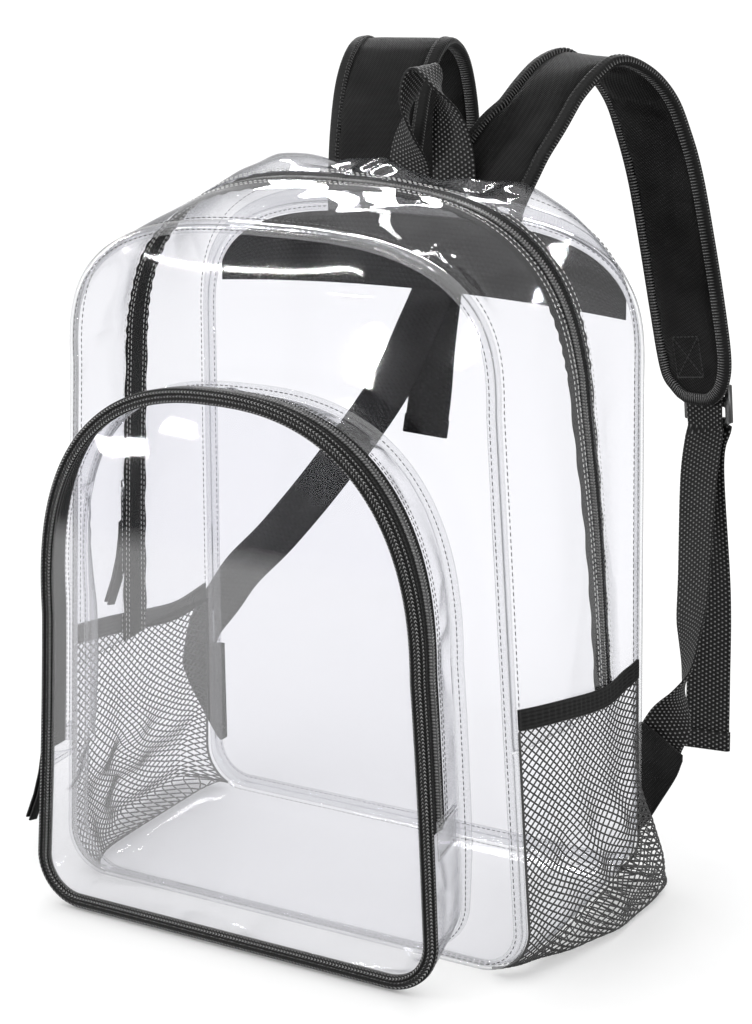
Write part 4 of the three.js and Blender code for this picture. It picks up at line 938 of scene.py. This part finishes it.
def teeth(name, line, up, across, half, rise):
    """A nylon coil: two rows of slanted loops that lock together along a line."""
    place, lift, side = resampled(line, TOOTH_PITCH / 2, up, across)
    along = unit(np.gradient(place, axis=0))
    lift, side = unit(lift), unit(side)
    way = np.where(np.arange(len(place)) % 2 == 0, 1.0, -1.0)[:, None]
    middle = place + side * way * half * 0.5 + lift * rise * 0.35
    lean = unit(side * way + along * 0.35)
    thin = unit(np.cross(lift, lean)) * TOOTH_PITCH * 0.27
    axes = np.stack([lean * half * 0.42, thin, lift * rise * 0.42], 1)
    return scattered(name, *capsule(6), middle, axes, COIL_PAINTED_HIGHLIGHT)


def zip_core(name, line, side, up, half, rise):
    """The dark band of locked loops between a coil's two rows of heads."""
    ends = np.array([(-1.0, 0.0), (-0.8, 0.45), (-0.2, 0.6), (0.2, 0.6), (0.8, 0.45), (1.0, 0.0)])
    rings = line[:, None] + side[:, None] * ends[None, :, :1] * half + up[:, None] * ends[None, :, 1:] * rise
    return loft(name, rings, CORE)


def zip_coil(name, skin, plain, turns, middle, out, heads, core):
    """A zip's coil and core along the middle of its tape, with the directions out of the tape."""
    line, up = skin(turns, middle, out), normals(plain, turns, middle)
    side = same((0.0, 1.0, 0.0), line)
    dressed(teeth(f"{name}_coil", line, up, side, *heads), "zip_tape")
    dressed(zip_core(f"{name}_core", line, side, up, *core), "zip_tape")
    return up


def main_zip():
    """Tape and coil of the main zip, and the two rows of stitching on each side."""
    turns = steps(ZIP_END + CUT, 2 - ZIP_END - CUT, 620)
    middle = zip_y(turns)
    under = -(WALL + TAPE_GAP)
    across = steps(-ZIP_TAPE / 2, ZIP_TAPE / 2, 13)[None]
    edge = 0.0004 * np.sin(turns[:, None] * 260) * (np.abs(across) > ZIP_TAPE * 0.45)
    outer, inner = under + edge, under - TAPE_THICK + edge
    tape = wall("main_zip_tape", main_skin, turns[:, None], middle[:, None] + across, outer, inner, TWILL)
    dressed(tape, "zip_tape", "main_zip")
    heads, core = (COIL_HALF, COIL_RISE), (COIL_HALF * 0.95, COIL_RISE * 0.8)
    up = zip_coil("main_zip", main_skin, plain_main, turns, middle, under, heads, core)
    for number, reach in enumerate(ZIP_SEAMS):
        for face, lift in (("outer", 0.0001), ("inner", under - 0.0007)):
            line = main_skin(turns, middle + reach, lift)
            made = stitches(f"main_zip_{face}_stitches_{number}", line, up, THREAD, 0.0034, 0.62, 0.00026)
            dressed(made, "zip_tape")


def yoke():
    """The woven band across the top of the back panel."""
    outline = lambda t: arched(main_shape(BACK_Y), t)
    crown = outline(np.array(1.0))[1]
    inset = BIND_WIDE + GAP * 2

    def foot(x):
        return crown - inset - YOKE_TALL - YOKE_DIP * (x / MAIN_HALF) ** 2

    turns = steps(END_SIDE, 1, 400)
    x, z = in_plane(outline, turns, -inset)
    end = turns[np.argmax(z - foot(x) >= YOKE_TALL * 0.25)]
    x, z = in_plane(outline, steps(end, 2 - end, 220)[:, None], -inset)
    z = foot(x) + (z - foot(x)) * steps(0, 1, 16)[None]
    y = back_face(x, z) + GAP
    made = slab("back_yoke_band", point(x, y + YOKE_THICK, z), point(x, y, z), YOKE_WEAVE)
    dressed(made, "black_webbing", "back_yoke")


def face_outline(turn):
    return arched(pocket_shape(0.0), turn)


def on_panel(turn):
    """The depth at which the pocket's walls meet the front panel."""
    p = plain_pocket(turn, np.full(np.shape(turn), FRONT_Y))
    return front_face(p[..., 0], p[..., 2]) - PANEL_GAP


def pocket_walls():
    """The pocket's clear face and its two gussets, which buckle inwards on the left."""
    x, z = panel_grid(lambda t: in_plane(face_outline, t, -(PIPING_WIDE * 0.6)), 100, 80)
    inset, sides = POCKET_HALF - np.abs(x + POCKET_DRIFT), (-FILM / 2, FILM / 2)
    panel("pocket_front", x, z, pocket_face(x, z), inset, 0.04, sides, POCKET_CLEAR_PAINTED_REFLECTION, "pocket_face")
    for name, turns, start, columns, node, seed in (
        ("pocket_lower_wall", POCKET_LOW, POCKET_RIM, 26, "pocket_base_gusset", 31),
        ("pocket_upper_wall", POCKET_OVER, POCKET_ZIP_BACK, 20, "pocket_gusset", 32),
    ):
        turns, share = turns[:, None], steps(0, 1, columns)[None]
        ys = start + (on_panel(turns) - start) * share
        u = turns * ARC_PER_TURN
        fold = creases(u, ys, 60, ((u.min(), u.max()), (FACE_Y, FRONT_Y)), 0.024, 0.005, 0.0018, seed)
        left = np.exp(-(((wrapped(turns) - POCKET_DENT_TURN) / POCKET_DENT_REACH) ** 2))
        lift = (fold * (1.3 + 2.4 * left) - POCKET_DENT_DEEP * left) * np.sin(np.pi * share)
        dressed(wall(name, pocket_skin, turns, ys, lift, lift - FILM, BUCKLED), "clear_vinyl", node)


def pocket_piping():
    """The black binding all round the pocket's face, with its stitching."""
    turns = steps(-1, 1, 421)[:-1]
    rings = []
    for out, deep in PIPING_SECTION:
        x, z = in_plane(face_outline, turns, out * PIPING_WIDE)
        rings.append(point(x, FACE_Y + deep * PIPING_DEEP / 2, z))
    piping = loft("pocket_piping", np.stack(rings, 1), CORDED, closed=True)
    dressed(piping, "black_cloth", "pocket_binding")
    x, z = in_plane(face_outline, turns, -PIPING_WIDE * 0.41)
    line = point(x, FACE_Y - PIPING_DEEP * 0.3, z)
    made = stitches("pocket_piping_stitches", line, same(AHEAD, line), BLACK_THREAD, 0.003)
    dressed(made, "black_cloth")


def pocket_zip():
    """Tape and coil of the pocket's zip, and the rows of stitching beside it."""
    half = POCKET_TAPE / 2 - GAP
    ys = POCKET_ZIP_MIDDLE + steps(-half, half, 9)[None]
    tape = wall("pocket_zip_tape", pocket_skin, POCKET_OVER[:, None], ys, 0.0, -TAPE_THICK, TWILL)
    dressed(tape, "zip_tape", "pocket_zip")
    middle = np.full(len(POCKET_OVER), POCKET_ZIP_MIDDLE)
    heads, core = (COIL_HALF * 1.1, COIL_RISE * 0.8), (COIL_HALF, COIL_RISE * 0.7)
    up = zip_coil("pocket_zip", pocket_skin, plain_pocket, POCKET_OVER, middle, 0.0, heads, core)
    rows = ((-0.0062, BLACK_THREAD), (0.0066, BLACK_THREAD), (0.0092, SEAM_THREAD), (0.0116, SEAM_THREAD))
    for number, (reach, thread) in enumerate(rows):
        line = pocket_skin(POCKET_OVER, middle + reach, 0.0002)
        dressed(stitches(f"pocket_zip_stitches_{number}", line, up, thread, 0.0032), "zip_tape")


def pocket_flange():
    """The clear flange by which the pocket is sewn to the front panel. It narrows to its ends."""
    first = END_BOTTOM + 0.015
    turns = steps(first, 2 - first, 380)

    def sewn(turn):
        p = plain_pocket(turn, on_panel(turn))
        return p[..., 0], p[..., 2]

    narrow = 0.62 + 0.38 * np.cos(np.pi * (turns - first) / (2 - 2 * first))
    narrow = narrow * np.clip((1 - first - np.abs(turns - 1)) / 0.16, 0.04, 1) ** 0.7
    rows = []
    for share in steps(0, 1, 5):
        x, z = in_plane(sewn, turns, GAP * 2 + share * FLANGE_WIDE * narrow)
        rows.append(point(x, front_face(x, z) - PANEL_GAP, z))
    outer = np.stack(rows, 1)
    flange = slab("pocket_seam_flange", outer - [0, FLANGE_THICK, 0], outer, BOUND_PAINTED_REFLECTION)
    dressed(flange, "clear_vinyl", "pocket_flange")
    line = outer[:, 2] - [0, 0.001, 0]
    made = stitches("pocket_flange_stitches", line, same(AHEAD, line), SEAM_THREAD, 0.0034)
    dressed(made, "clear_vinyl")


def pocket_tabs():
    """The clear tabs that are sewn over the ends of the pocket's zip."""
    above = COIL_RISE * 0.6 + GAP + WALL
    for name, sign in SIDES:
        start = sign * POCKET_END - END_TAB_LONG * (0.62 if sign > 0 else 0.38)
        turns = steps(start, start + END_TAB_LONG, 24)[:, None]
        ys = steps(POCKET_RIM + GAP, POCKET_ZIP_BACK + END_TAB_LAP, 16)[None]
        made = wall(f"pocket_end_tab_{name}", pocket_skin, turns, ys, above, above - END_TAB_THICK, BOUND_PAINTED_REFLECTION)
        dressed(made, "clear_vinyl", f"pocket_zip_end_{name}")
        for number, edge in enumerate((0.12, 0.88)):
            t = np.full(24, start + END_TAB_LONG * edge)
            line = pocket_skin(t, steps(ys.min() + 0.001, ys.max() - 0.001, 24), above)
            up = normals(plain_pocket, t, steps(ys.min(), ys.max(), 24))
            made = stitches(f"pocket_end_stitches_{name}_{number}", line, up, BLACK_THREAD, 0.003)
            dressed(made, "zip_tape")


def side_turn(y, z):
    """The turn at which the compartment's side has a height z at a depth y."""
    shape = main_shape(y)
    floor = shape["floor"]
    a = np.arccos(np.clip(1 - (z - floor) / LOWER_CORNER, -1, 1))
    low = END_BOTTOM + (END_CORNER - END_BOTTOM) * a / (np.pi / 2)
    return np.where(z > floor + LOWER_CORNER, turn_at(z, shape), low)


NET_FRONT = FRONT_Y + BIND_WIDE + 2 * GAP
NET_BACK = BACK_Y - BIND_WIDE - 2 * GAP - 0.0012


def elastic_top(y):
    return read(ELASTIC_RUN, "depth", y / MAIN_DEPTH)["high"] * NET_TOP


def net_point(side, across, rise):
    """A point of a side net's face: across from the front seam to the back one, rise from the floor up."""
    across, rise = np.clip(across, 0, 1), np.clip(rise, 0, 1)
    sag = read(NET_REACH, "across", across)
    row = read(NET_SWELL, "rise", rise)
    spread = np.clip(row["out"] * 2, 0, 1)
    y = NET_FRONT + (NET_BACK - NET_FRONT) * (across + (sag["drawn"] - across) * spread)
    z = (elastic_top(y) - ELASTIC_TALL - GAP) * row["high"]
    lift = NET_TOE * (1 - np.clip(rise * 8, 0, 1))
    inner = np.sin(np.pi * across) * np.sin(np.pi * rise)
    y = y + inner * 0.0022 * np.sin(rise * 19 + across * 5)
    z = z + inner * 0.0020 * np.sin(across * 14 + rise * 6 + side)
    at = main_skin(side * side_turn(y, z + lift), y, NET_CLEAR + 0.0006)
    fold = inner * (0.0016 * np.sin(across * 24 + rise * 7) + 0.0014 * np.sin(rise * 26 - across * 9))
    at[..., 0] += side * (NET_BULGE * row["out"] * sag["reach"] + fold * np.clip(row["out"] * 3, 0, 1))
    return at


def net(name, side):
    """A fine diamond net, strand by strand, with a cord down its front and back edges."""
    under = 2 if side > 0 else 4
    wide = 2 * round((NET_BACK - NET_FRONT) / NET_CELL_WIDE)
    tall = 2 * round((NET_TOP - ELASTIC_TALL) * 1.04 / NET_CELL_TALL) + under
    i, j = np.indices((wide + 1, tall + 1))
    rise = np.where(j < under, j * 0.1 / under, 0.1 + 0.9 * (j - under) / (tall - under))
    grid = net_point(side, i / wide, rise)
    cells = [(a, b, a + 1, b + d) for d in (1, -1) for a in range(wide) for b in range(tall + 1)
             if (a + b) % 2 == 0 and 0 <= b + d <= tall]
    cells += [(a, b, a + 2, b) for b in (0, tall) for a in range(0, wide - 1, 2) if (a + b) % 2 == 0]
    cells += [(a, b, a, b + 2) for a in (0, wide) for b in range(0, tall - 1, 2) if (a + b) % 2 == 0]
    cells = np.array(cells)
    start, stop = grid[cells[:, 0], cells[:, 1]], grid[cells[:, 2], cells[:, 3]]
    along = stop - start
    over = unit(np.cross(same((side, 0.0, 0.0), along), along))
    up = unit(np.cross(along, over))
    axes = np.stack([along * 0.54, over * STRAND / 2, up * STRAND / 2], 1)
    made = scattered(f"side_net_{name}", *capsule(4), (start + stop) / 2, axes, NET)
    dressed(made, "black_net", f"net_pocket_{name}")
    way = steps(0, 1, 120)
    for edge, across in (("front", 0.0), ("back", 1.0)):
        hem = resampled(net_point(side, across + 0 * way, 1 - way), 0.0025)[0]
        dressed(tube(f"net_hem_{edge}_{name}", hem, NET_HEM, NET), "black_net")


def elastic(name, side):
    """The band along a net's top."""
    ys, share = steps(NET_FRONT, NET_BACK, 90)[:, None], steps(0, 1, 9)[None]
    turns = side * side_turn(ys, elastic_top(ys) - ELASTIC_TALL * share)
    roll = 0.0004 * np.sin(ys * 900) * np.sin(np.pi * share)
    outer = NET_CLEAR + ELASTIC_THICK * 0.95 + roll
    made = wall(f"side_elastic_{name}", main_skin, turns, ys + 0 * share, outer, NET_CLEAR, BAND)
    dressed(made, "black_webbing", f"net_elastic_{name}")


def stations(rows, count, place):
    """Places, width directions and shares of a table's rows at even steps along it."""
    keyed = dict(rows, step=np.arange(len(rows["yaw"]), dtype=float))
    found = read(keyed, "step", steps(0, len(rows["yaw"]) - 1, count))
    yaw = np.radians(found["yaw"])
    width = np.stack([np.cos(yaw), np.sin(yaw), 0 * yaw], 1)
    return place(found), width, found


def across_of(points, width):
    """The width and face directions of a band, square to the line that it follows."""
    along = unit(np.gradient(points, axis=0))
    w = unit(width - along * (width * along).sum(1, keepdims=True))
    return w, unit(np.cross(along, w))


def band_profile(wide, thick):
    """A band's cross-section with rounded selvedges: across and through."""
    a, t = wide / 2, thick / 2
    r = thick * 0.35
    top = [(-a, 0), (-a + r * 0.3, t * 0.7), (-a + r, t)]
    top += [(x, t) for x in steps(-a + 0.003, a - 0.003, 7)]
    top += [(a - r, t), (a - r * 0.3, t * 0.7), (a, 0)]
    return np.array(top + [(x, -y) for x, y in top[::-1][1:-1]])


def band(name, points, width, wide, thick, material):
    """A flat band along a line."""
    w, n = across_of(points, width)
    profile = band_profile(wide, thick)
    rings = points[:, None] + w[:, None] * profile[None, :, :1] + n[:, None] * profile[None, :, 1:]
    return loft(name, rings, material)


def tube(name, points, radius, material):
    """A round cord along a line."""
    w, n = across_of(points, same((0.0, 1.0, 0.3), points))
    a = (np.arange(8) * 2 * np.pi / 8)[None, :, None]
    return loft(name, points[:, None] + radius * (w[:, None] * np.cos(a) + n[:, None] * np.sin(a)), material)


def strap_place(row):
    return point(
        row["out"] * MAIN_HALF, BACK_Y + row["back"] * STRAP_REACH, SEAM_HIGH + row["up"] * STRAP_RISE
    )


def web_place(row):
    return point(row["out"] * MAIN_HALF, BACK_Y + row["back"] * STRAP_REACH, row["high"] * MAIN_HEIGHT)


def modified(thing, kind, **settings):
    """Applies a modifier to a piece."""
    bpy.context.view_layer.objects.active = thing
    made = thing.modifiers.new(kind.lower(), kind)
    for name, value in settings.items():
        setattr(made, name, value)
    bpy.ops.object.modifier_apply(modifier=made.name)


def corners_of(thing):
    return np.array([v.co for v in thing.data.vertices])


def swollen(thing):
    """Remeshes a pad, blows it up a little as cloth, and keeps each point within PAD_SWELL of its place."""
    modified(thing, "REMESH", mode="VOXEL", voxel_size=PAD_VOXEL)
    rest = corners_of(thing)
    blown = thing.modifiers.new("cloth", "CLOTH")
    settings = blown.settings
    settings.use_pressure = True
    settings.uniform_pressure_force = PAD_PRESSURE
    settings.effector_weights.gravity = 0
    settings.tension_stiffness = settings.compression_stiffness = 12
    settings.bending_stiffness = 0.6
    for number in range(1, CLOTH_FRAMES + 1):
        bpy.context.scene.frame_set(number)
    bpy.ops.object.modifier_apply(modifier=blown.name)
    bpy.context.scene.frame_set(1)
    shift = corners_of(thing) - rest
    far = np.linalg.norm(shift, axis=1, keepdims=True)
    now = rest + shift * np.minimum(1, PAD_SWELL / np.maximum(far, 1e-9))
    thing.data.vertices.foreach_set("co", now.ravel())
    modified(thing, "SUBSURF", levels=1, render_levels=1)
    smooth(thing.data)
    return thing


def box_cross(name, centre, along, side, up):
    """A sewn box with a cross in it."""
    corners = [(-1, -1), (1, -1), (1, 1), (-1, 1), (-1, -1), (1, 1), (1, -1), (-1, 1)]
    points = np.array([
        centre + along * a * SEWN_BOX_LONG / 2 + side * b * SEWN_BOX_WIDE / 2 for a, b in corners
    ])
    dressed(stitches(name, points, same(up, points), BLACK_THREAD, 0.0032, 0.72, 0.0004), "black_cloth")


def strap(name):
    """One shoulder strap: a swollen pad, its ribbed edge binding, stitching and a sewn box on each face."""
    points, width, row = stations(STRAPS[name], 90, strap_place)
    w, n = across_of(points, width)
    wide, thick = row["wide"] * STRAP_WIDE, row["thick"] * STRAP_THICK
    inner = np.maximum(wide / 2 - STRAP_EDGE * 0.5, 0.002)
    a = np.linspace(0, 2 * np.pi, 25)[:-1]
    c, d = np.cos(a), np.sin(a)
    lobe = np.stack([np.sign(c) * np.abs(c) ** 0.7, np.sign(d) * np.abs(d) ** 0.55], 1)
    rings = (
        points[:, None] + w[:, None] * lobe[None, :, :1] * inner[:, None, None]
        + n[:, None] * lobe[None, :, 1:] * (thick * 0.40)[:, None, None]
    )
    pad = swollen(loft(f"strap_pad_{name}", rings, CLOTH))
    dressed(pad, "black_cloth", f"strap_{name}")

    reach = wide[:, None] / 2
    ahead = (points[-1] - points[-2]) * 0.9
    tip = [points[-1] + w[-1] * reach[-1] * s + ahead for s in (0.5, 0, -0.5)]
    line = np.concatenate([points + w * reach, tip, (points - w * reach)[::-1]])
    face = np.concatenate([n, np.tile(n[-1], (3, 1)), n[::-1]])
    even, facing = resampled(line, 0.003, face)
    along = unit(np.gradient(even, axis=0))
    facing = unit(facing - along * (facing * along).sum(1, keepdims=True))
    out = unit(np.cross(facing, along))
    half = np.array(STRAP_BINDING)
    fold = np.concatenate([half, half[::-1] * [1, -1]])
    rings = even[:, None] + out[:, None] * fold[None, :, :1] + facing[:, None] * fold[None, :, 1:]
    edge = loft(f"strap_binding_{name}", rings, RIBBED)
    dressed(edge, "black_cloth")

    centre = points[SEWN_BOX_STATION]
    side = n[SEWN_BOX_STATION] * (1 if n[SEWN_BOX_STATION][1] > 0 else -1)
    down = unit(points[SEWN_BOX_STATION + 1] - points[SEWN_BOX_STATION - 1])
    skin = corners_of(pad) - centre
    beside = np.linalg.norm(skin - np.outer(skin @ side, side), axis=1) < 0.012
    for number, sign in enumerate((1, -1)):
        row = even + facing * sign * STRAP_SEAM_HIGH - out * STRAP_EDGE
        made = stitches(f"strap_stitches_{name}_{number}", row, facing * sign, BLACK_THREAD, 0.003)
        dressed(made, "black_cloth")
    for number, sign in enumerate((1, -1)):
        height = (skin @ side * sign)[beside].max()
        on_top = centre + side * sign * (height + 0.0002)
        box_cross(f"strap_box_{name}_{number}", on_top, down, w[SEWN_BOX_STATION], side * sign)


def buckle_line(name):
    """The strap's end as a local frame: where it ends, down, out to the back, across."""
    points, width, _ = stations(STRAPS[name], 25, strap_place)
    down = unit(points[-1] - points[-2])
    across = unit(width[-1] - down * (width[-1] @ down))
    out = unit(np.cross(across, down))
    out = -out if out[1] < 0 else out
    return points[-1], down, out, across


def webbing(name, line, wide, share, thick, weave, *stands_for):
    """A length of webbing, with its width and thickness as shares of the lower webbing's."""
    made = band(name, line, wide, WEB_WIDE * share, WEB_THICK * thick, weave)
    dressed(made, "black_webbing", *stands_for)


def hardware(name):
    """The buckle's loop, and the webbing with its loose tail, on one side."""
    end, down, out, across = buckle_line(name)
    bend = math.hypot(BUCKLE_RAIL / 2, BUCKLE_THICK / 2) + GAP + WEB_THICK / 2
    top = -BUCKLE_LAP
    plane = STRAP_THICK / 2 + 2 * GAP + WEB_THICK / 2 + bend

    def local(d, n):
        return end + down * d + out * n

    def around(bar, way):
        turns = np.linspace(0, np.pi, 13)
        return np.array([local(bar + way * math.sin(t) * bend, plane - math.cos(t) * bend) for t in turns])

    def stretch(rows, count, at_buckle, first):
        """Stations of a stretch of webbing, whose first or last one is at the buckle."""
        place, yaw = web_place(rows), rows["yaw"]
        if first:
            place, yaw = np.vstack([at_buckle, place]), np.append(yaw[0], yaw)
        else:
            place, yaw = np.vstack([place, at_buckle]), np.append(yaw, yaw[-1])
        columns = dict(zip("xyz", place.T), yaw=yaw)
        return stations(columns, count, lambda row: point(row["x"], row["y"], row["z"]))[:2]

    loop = np.concatenate([
        [local(top - LOOP_LAP, plane - bend)], around(top + BUCKLE_RAIL / 2, 1),
        [local(top - LOOP_LAP, plane + bend)],
    ])
    webbing(f"buckle_web_loop_{name}", loop, same(across, loop), 0.8, 1, WEBBING, f"buckle_loop_{name}")
    below = top + BUCKLE_TALL + WEB_THICK * 2
    run, run_width = stretch(WEBS[name], 90, local(below, plane - bend), False)
    tail, tail_width = stretch(TAILS[name], 60, local(below, plane + bend), True)
    middle = around(top + BUCKLE_TALL / 2, -1)
    line = np.concatenate([run, middle, tail])
    wide = np.concatenate([run_width, same(-across, middle), tail_width])
    weave = WEBBING if name == "right" else YOKE_WEAVE
    webbing(f"web_{name}", line, wide, 1, 1, weave, f"webbing_{name}")
    hem = lengths(tail) > lengths(tail)[-1] - WEB_HEM
    webbing(f"web_hem_{name}", tail[hem], tail_width[hem], 1.05, 3, weave)


def softened(node, name, material, slot, body, width):
    """A hard CAD piece with rounded edges."""
    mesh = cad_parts[node].data.copy()
    mesh.materials.clear()
    mesh.materials.append(material)
    thing = added(name, mesh)
    modified(thing, "WELD", merge_threshold=0.00002)
    modified(
        thing, "BEVEL", width=width, segments=3, limit_method="ANGLE", angle_limit=math.radians(35),
        harden_normals=True,
    )
    smooth(thing.data)
    dressed(thing, slot, node, body=body)


def anchor_tab(name, side):
    """The cloth triangle that holds the lower webbing at the back seam."""
    row = read(dict(ANCHOR, step=np.arange(5.0)), "step", steps(0, 4, 40)[:, None])
    x = side * (MAIN_HALF + row["out"] * TAB_REACH[name])
    y = BACK_Y + WALL + BIND_THICK + 2 * GAP + row["back"] * TAB_REACH[name]
    z = (row["low"] + (row["high"] - row["low"]) * steps(0, 1, 24)[None]) * TAB_HIGH
    made = slab(f"anchor_cloth_{name}", point(x, y + TAB_THICK, z), point(x, y, z), CLOTH)
    dressed(made, "black_cloth", f"anchor_tab_{name}")


def handle():
    place = lambda row: point(
        row["across"] * HANDLE_WIDE,
        BACK_Y + WALL + BIND_THICK + 2 * GAP + HANDLE_THICK / 2 + row["back"] * HANDLE_RISE,
        SEAM_HIGH + row["up"] * HANDLE_RISE,
    )
    points, width, _ = stations(HANDLE, 110, place)
    made = band("handle_webbing", points, width, HANDLE_WIDE, HANDLE_THICK, WEBBING)
    dressed(made, "black_webbing", "grab_handle")


def zip_pulls():
    """Sliders, pull tabs and their ribbons, with rounded edges."""
    for name in ("main", "pocket"):
        softened(f"{name}_slider", f"{name}_slider_body", METAL, "black_metal", "bag", 0.0005)
        softened(f"{name}_pull", f"{name}_pull_tab", METAL, "black_metal", f"{name}_pull", 0.00035)
        softened(f"{name}_pull_ribbon", f"{name}_ribbon", RIBBED, "black_webbing", f"{name}_pull", 0.0003)


def camera_axes():
    """The photograph's camera: where it stands, and its directions ahead, right and up."""
    ahead = Vector((
        -math.sin(CAMERA_TURN) * math.cos(CAMERA_TILT),
        math.cos(CAMERA_TURN) * math.cos(CAMERA_TILT),
        -math.sin(CAMERA_TILT),
    ))
    right = Vector((math.cos(CAMERA_TURN), math.sin(CAMERA_TURN), 0))
    return CAMERA_AIM - ahead * CAMERA_AWAY, ahead, right, right.cross(ahead)


def lamp(name, place, aim, size, radiance):
    """A rectangular lamp that only shows in glossy surfaces."""
    data = bpy.data.lights.new(name, "AREA")
    data.shape = "RECTANGLE"
    data.size, data.size_y = size
    data.energy = radiance * math.pi * size[0] * size[1]
    thing = added(name, data)
    thing.location = place
    thing.rotation_euler = (Vector(aim) - Vector(place)).to_track_quat("-Z", "Y").to_euler()
    thing.visible_camera = False
    thing.visible_diffuse = False
    return thing


def long_lamp(name, start, stop, aim, wide, radiance):
    """A narrow lamp that runs from one point to another and faces a third."""
    start, stop, aim = Vector(start), Vector(stop), Vector(aim)
    middle = (start + stop) / 2
    thing = lamp(name, middle, aim, ((stop - start).length, wide), radiance)
    back = (middle - aim).normalized()
    up = back.cross(stop - start).normalized()
    thing.rotation_euler = Matrix((up.cross(back), up, back)).transposed().to_euler()


def glint(name, x, z, surface, wide, high, radiance):
    """A small lamp whose reflection lies at a place on a front surface, with that width and height."""
    eye = camera_axes()[0]
    place = Vector((x, float(surface(x, z)), z))
    slope_x = float(surface(x + 0.002, z) - surface(x - 0.002, z)) / 0.004
    slope_z = float(surface(x, z + 0.002) - surface(x, z - 0.002)) / 0.004
    normal = Vector((slope_x, -1, slope_z)).normalized()
    to_eye = (eye - place).normalized()
    way = normal * (2 * normal.dot(to_eye)) - to_eye
    grown = 1 + GLINT_AWAY / (eye - place).length
    size = (wide * grown * to_eye.dot(normal), high * grown)
    lamp(name, place + way * GLINT_AWAY, place, size, radiance)


FLOOR_GREY = grey(0.97)
FLOOR_GAP = 0.0005
SUN_STRENGTH = 0.45
SUN_WIDE = math.radians(80)
ROOM_MIDDLE = (0, 0, 0.25)
# Large lamps round the bag: place, size and radiance.
STRIPS = {
    "left_strip": ((-1.5, -1.0, 0.7), (0.25, 1.0), 120),
    "right_strip": ((1.9, 0.1, 1.0), (0.16, 1.2), 100),
    "top_strip": ((0.1, -0.6, 2.0), (1.3, 0.14), 40),
    "rear_strip": ((-0.6, 1.9, 1.5), (1.0, 0.25), 60),
    "low_strip": ((-1.1, -2.0, 0.45), (0.5, 0.3), 120),
}
# The lamp over the crown: from, to, the place that it faces, width and radiance.
CROWN_ARC = ((-0.54, 0.636, 0.727), (-0.109, 0.43, 1.133), (0.036, -0.054, 0.435), 0.05, 45)
GLINT_AWAY = 0.9
# Reflections on the front: where in x and z, on which surface, their width and height, radiance.
GLINTS = {
    "streak": (-0.004, 0.401, front_face, 0.15, 0.0022, 360),
    "oval": (0.064, 0.350, front_face, 0.020, 0.038, 420),
    "fold_spot": (0.143, 0.385, front_face, 0.008, 0.04, 300),
    "low_patch": (0.149, 0.118, front_face, 0.012, 0.036, 420),
    "pocket_patch": (-0.076, 0.299, pocket_face, 0.04, 0.010, 240),
}


def studio():
    """A pale floor, soft light and the photograph's camera."""
    bpy.ops.mesh.primitive_plane_add(size=60, location=(0, 0, -FLOOR_GAP))
    floor = bpy.context.object
    floor.name = "studio_floor"
    look = Look("studio_floor")
    floor.data.materials.append(look.finish("BsdfPrincipled", Base_Color=FLOOR_GREY, Roughness=0.9))

    scene = bpy.context.scene
    scene.world = bpy.data.worlds.new("studio")
    scene.world.use_nodes = True
    background = scene.world.node_tree.nodes["Background"].inputs
    background["Color"].default_value = grey(1.0)
    background["Strength"].default_value = 1.0
    sun = bpy.data.lights.new("even_light", "SUN")
    sun.energy = SUN_STRENGTH
    sun.angle = SUN_WIDE
    added("even_light", sun)
    for name, (place, size, radiance) in STRIPS.items():
        lamp(name, place, ROOM_MIDDLE, size, radiance)
    for name, values in GLINTS.items():
        glint(name, *values)
    long_lamp("crown_arc", *CROWN_ARC)

    place, ahead, right, up = camera_axes()
    c, s = math.cos(CAMERA_ROLL), math.sin(CAMERA_ROLL)
    axes = Matrix((right * c + up * s, up * c - right * s, -ahead)).transposed().to_4x4()
    camera = bpy.data.cameras.new("photo_camera")
    camera.lens = CAMERA_LENS
    camera.sensor_width = CAMERA_SENSOR
    scene.camera = added("photo_camera", camera)
    scene.camera.matrix_world = Matrix.Translation(place) @ axes
    scene.view_settings.view_transform = "Standard"
    scene.cycles.transparent_max_bounces = 36


studio()
main_walls()
panels()
seams()
main_zip()
yoke()
pocket_walls()
pocket_piping()
pocket_zip()
pocket_flange()
pocket_tabs()
for side_name, side_sign in SIDES:
    net(side_name, side_sign)
    elastic(side_name, side_sign)
for side_name, side_sign in SIDES:
    strap(side_name)
    hardware(side_name)
    softened(f"buckle_{side_name}", f"ladder_buckle_{side_name}", PLASTIC, "black_plastic", "bag", 0.0008)
    anchor_tab(side_name, side_sign)
handle()
zip_pulls()
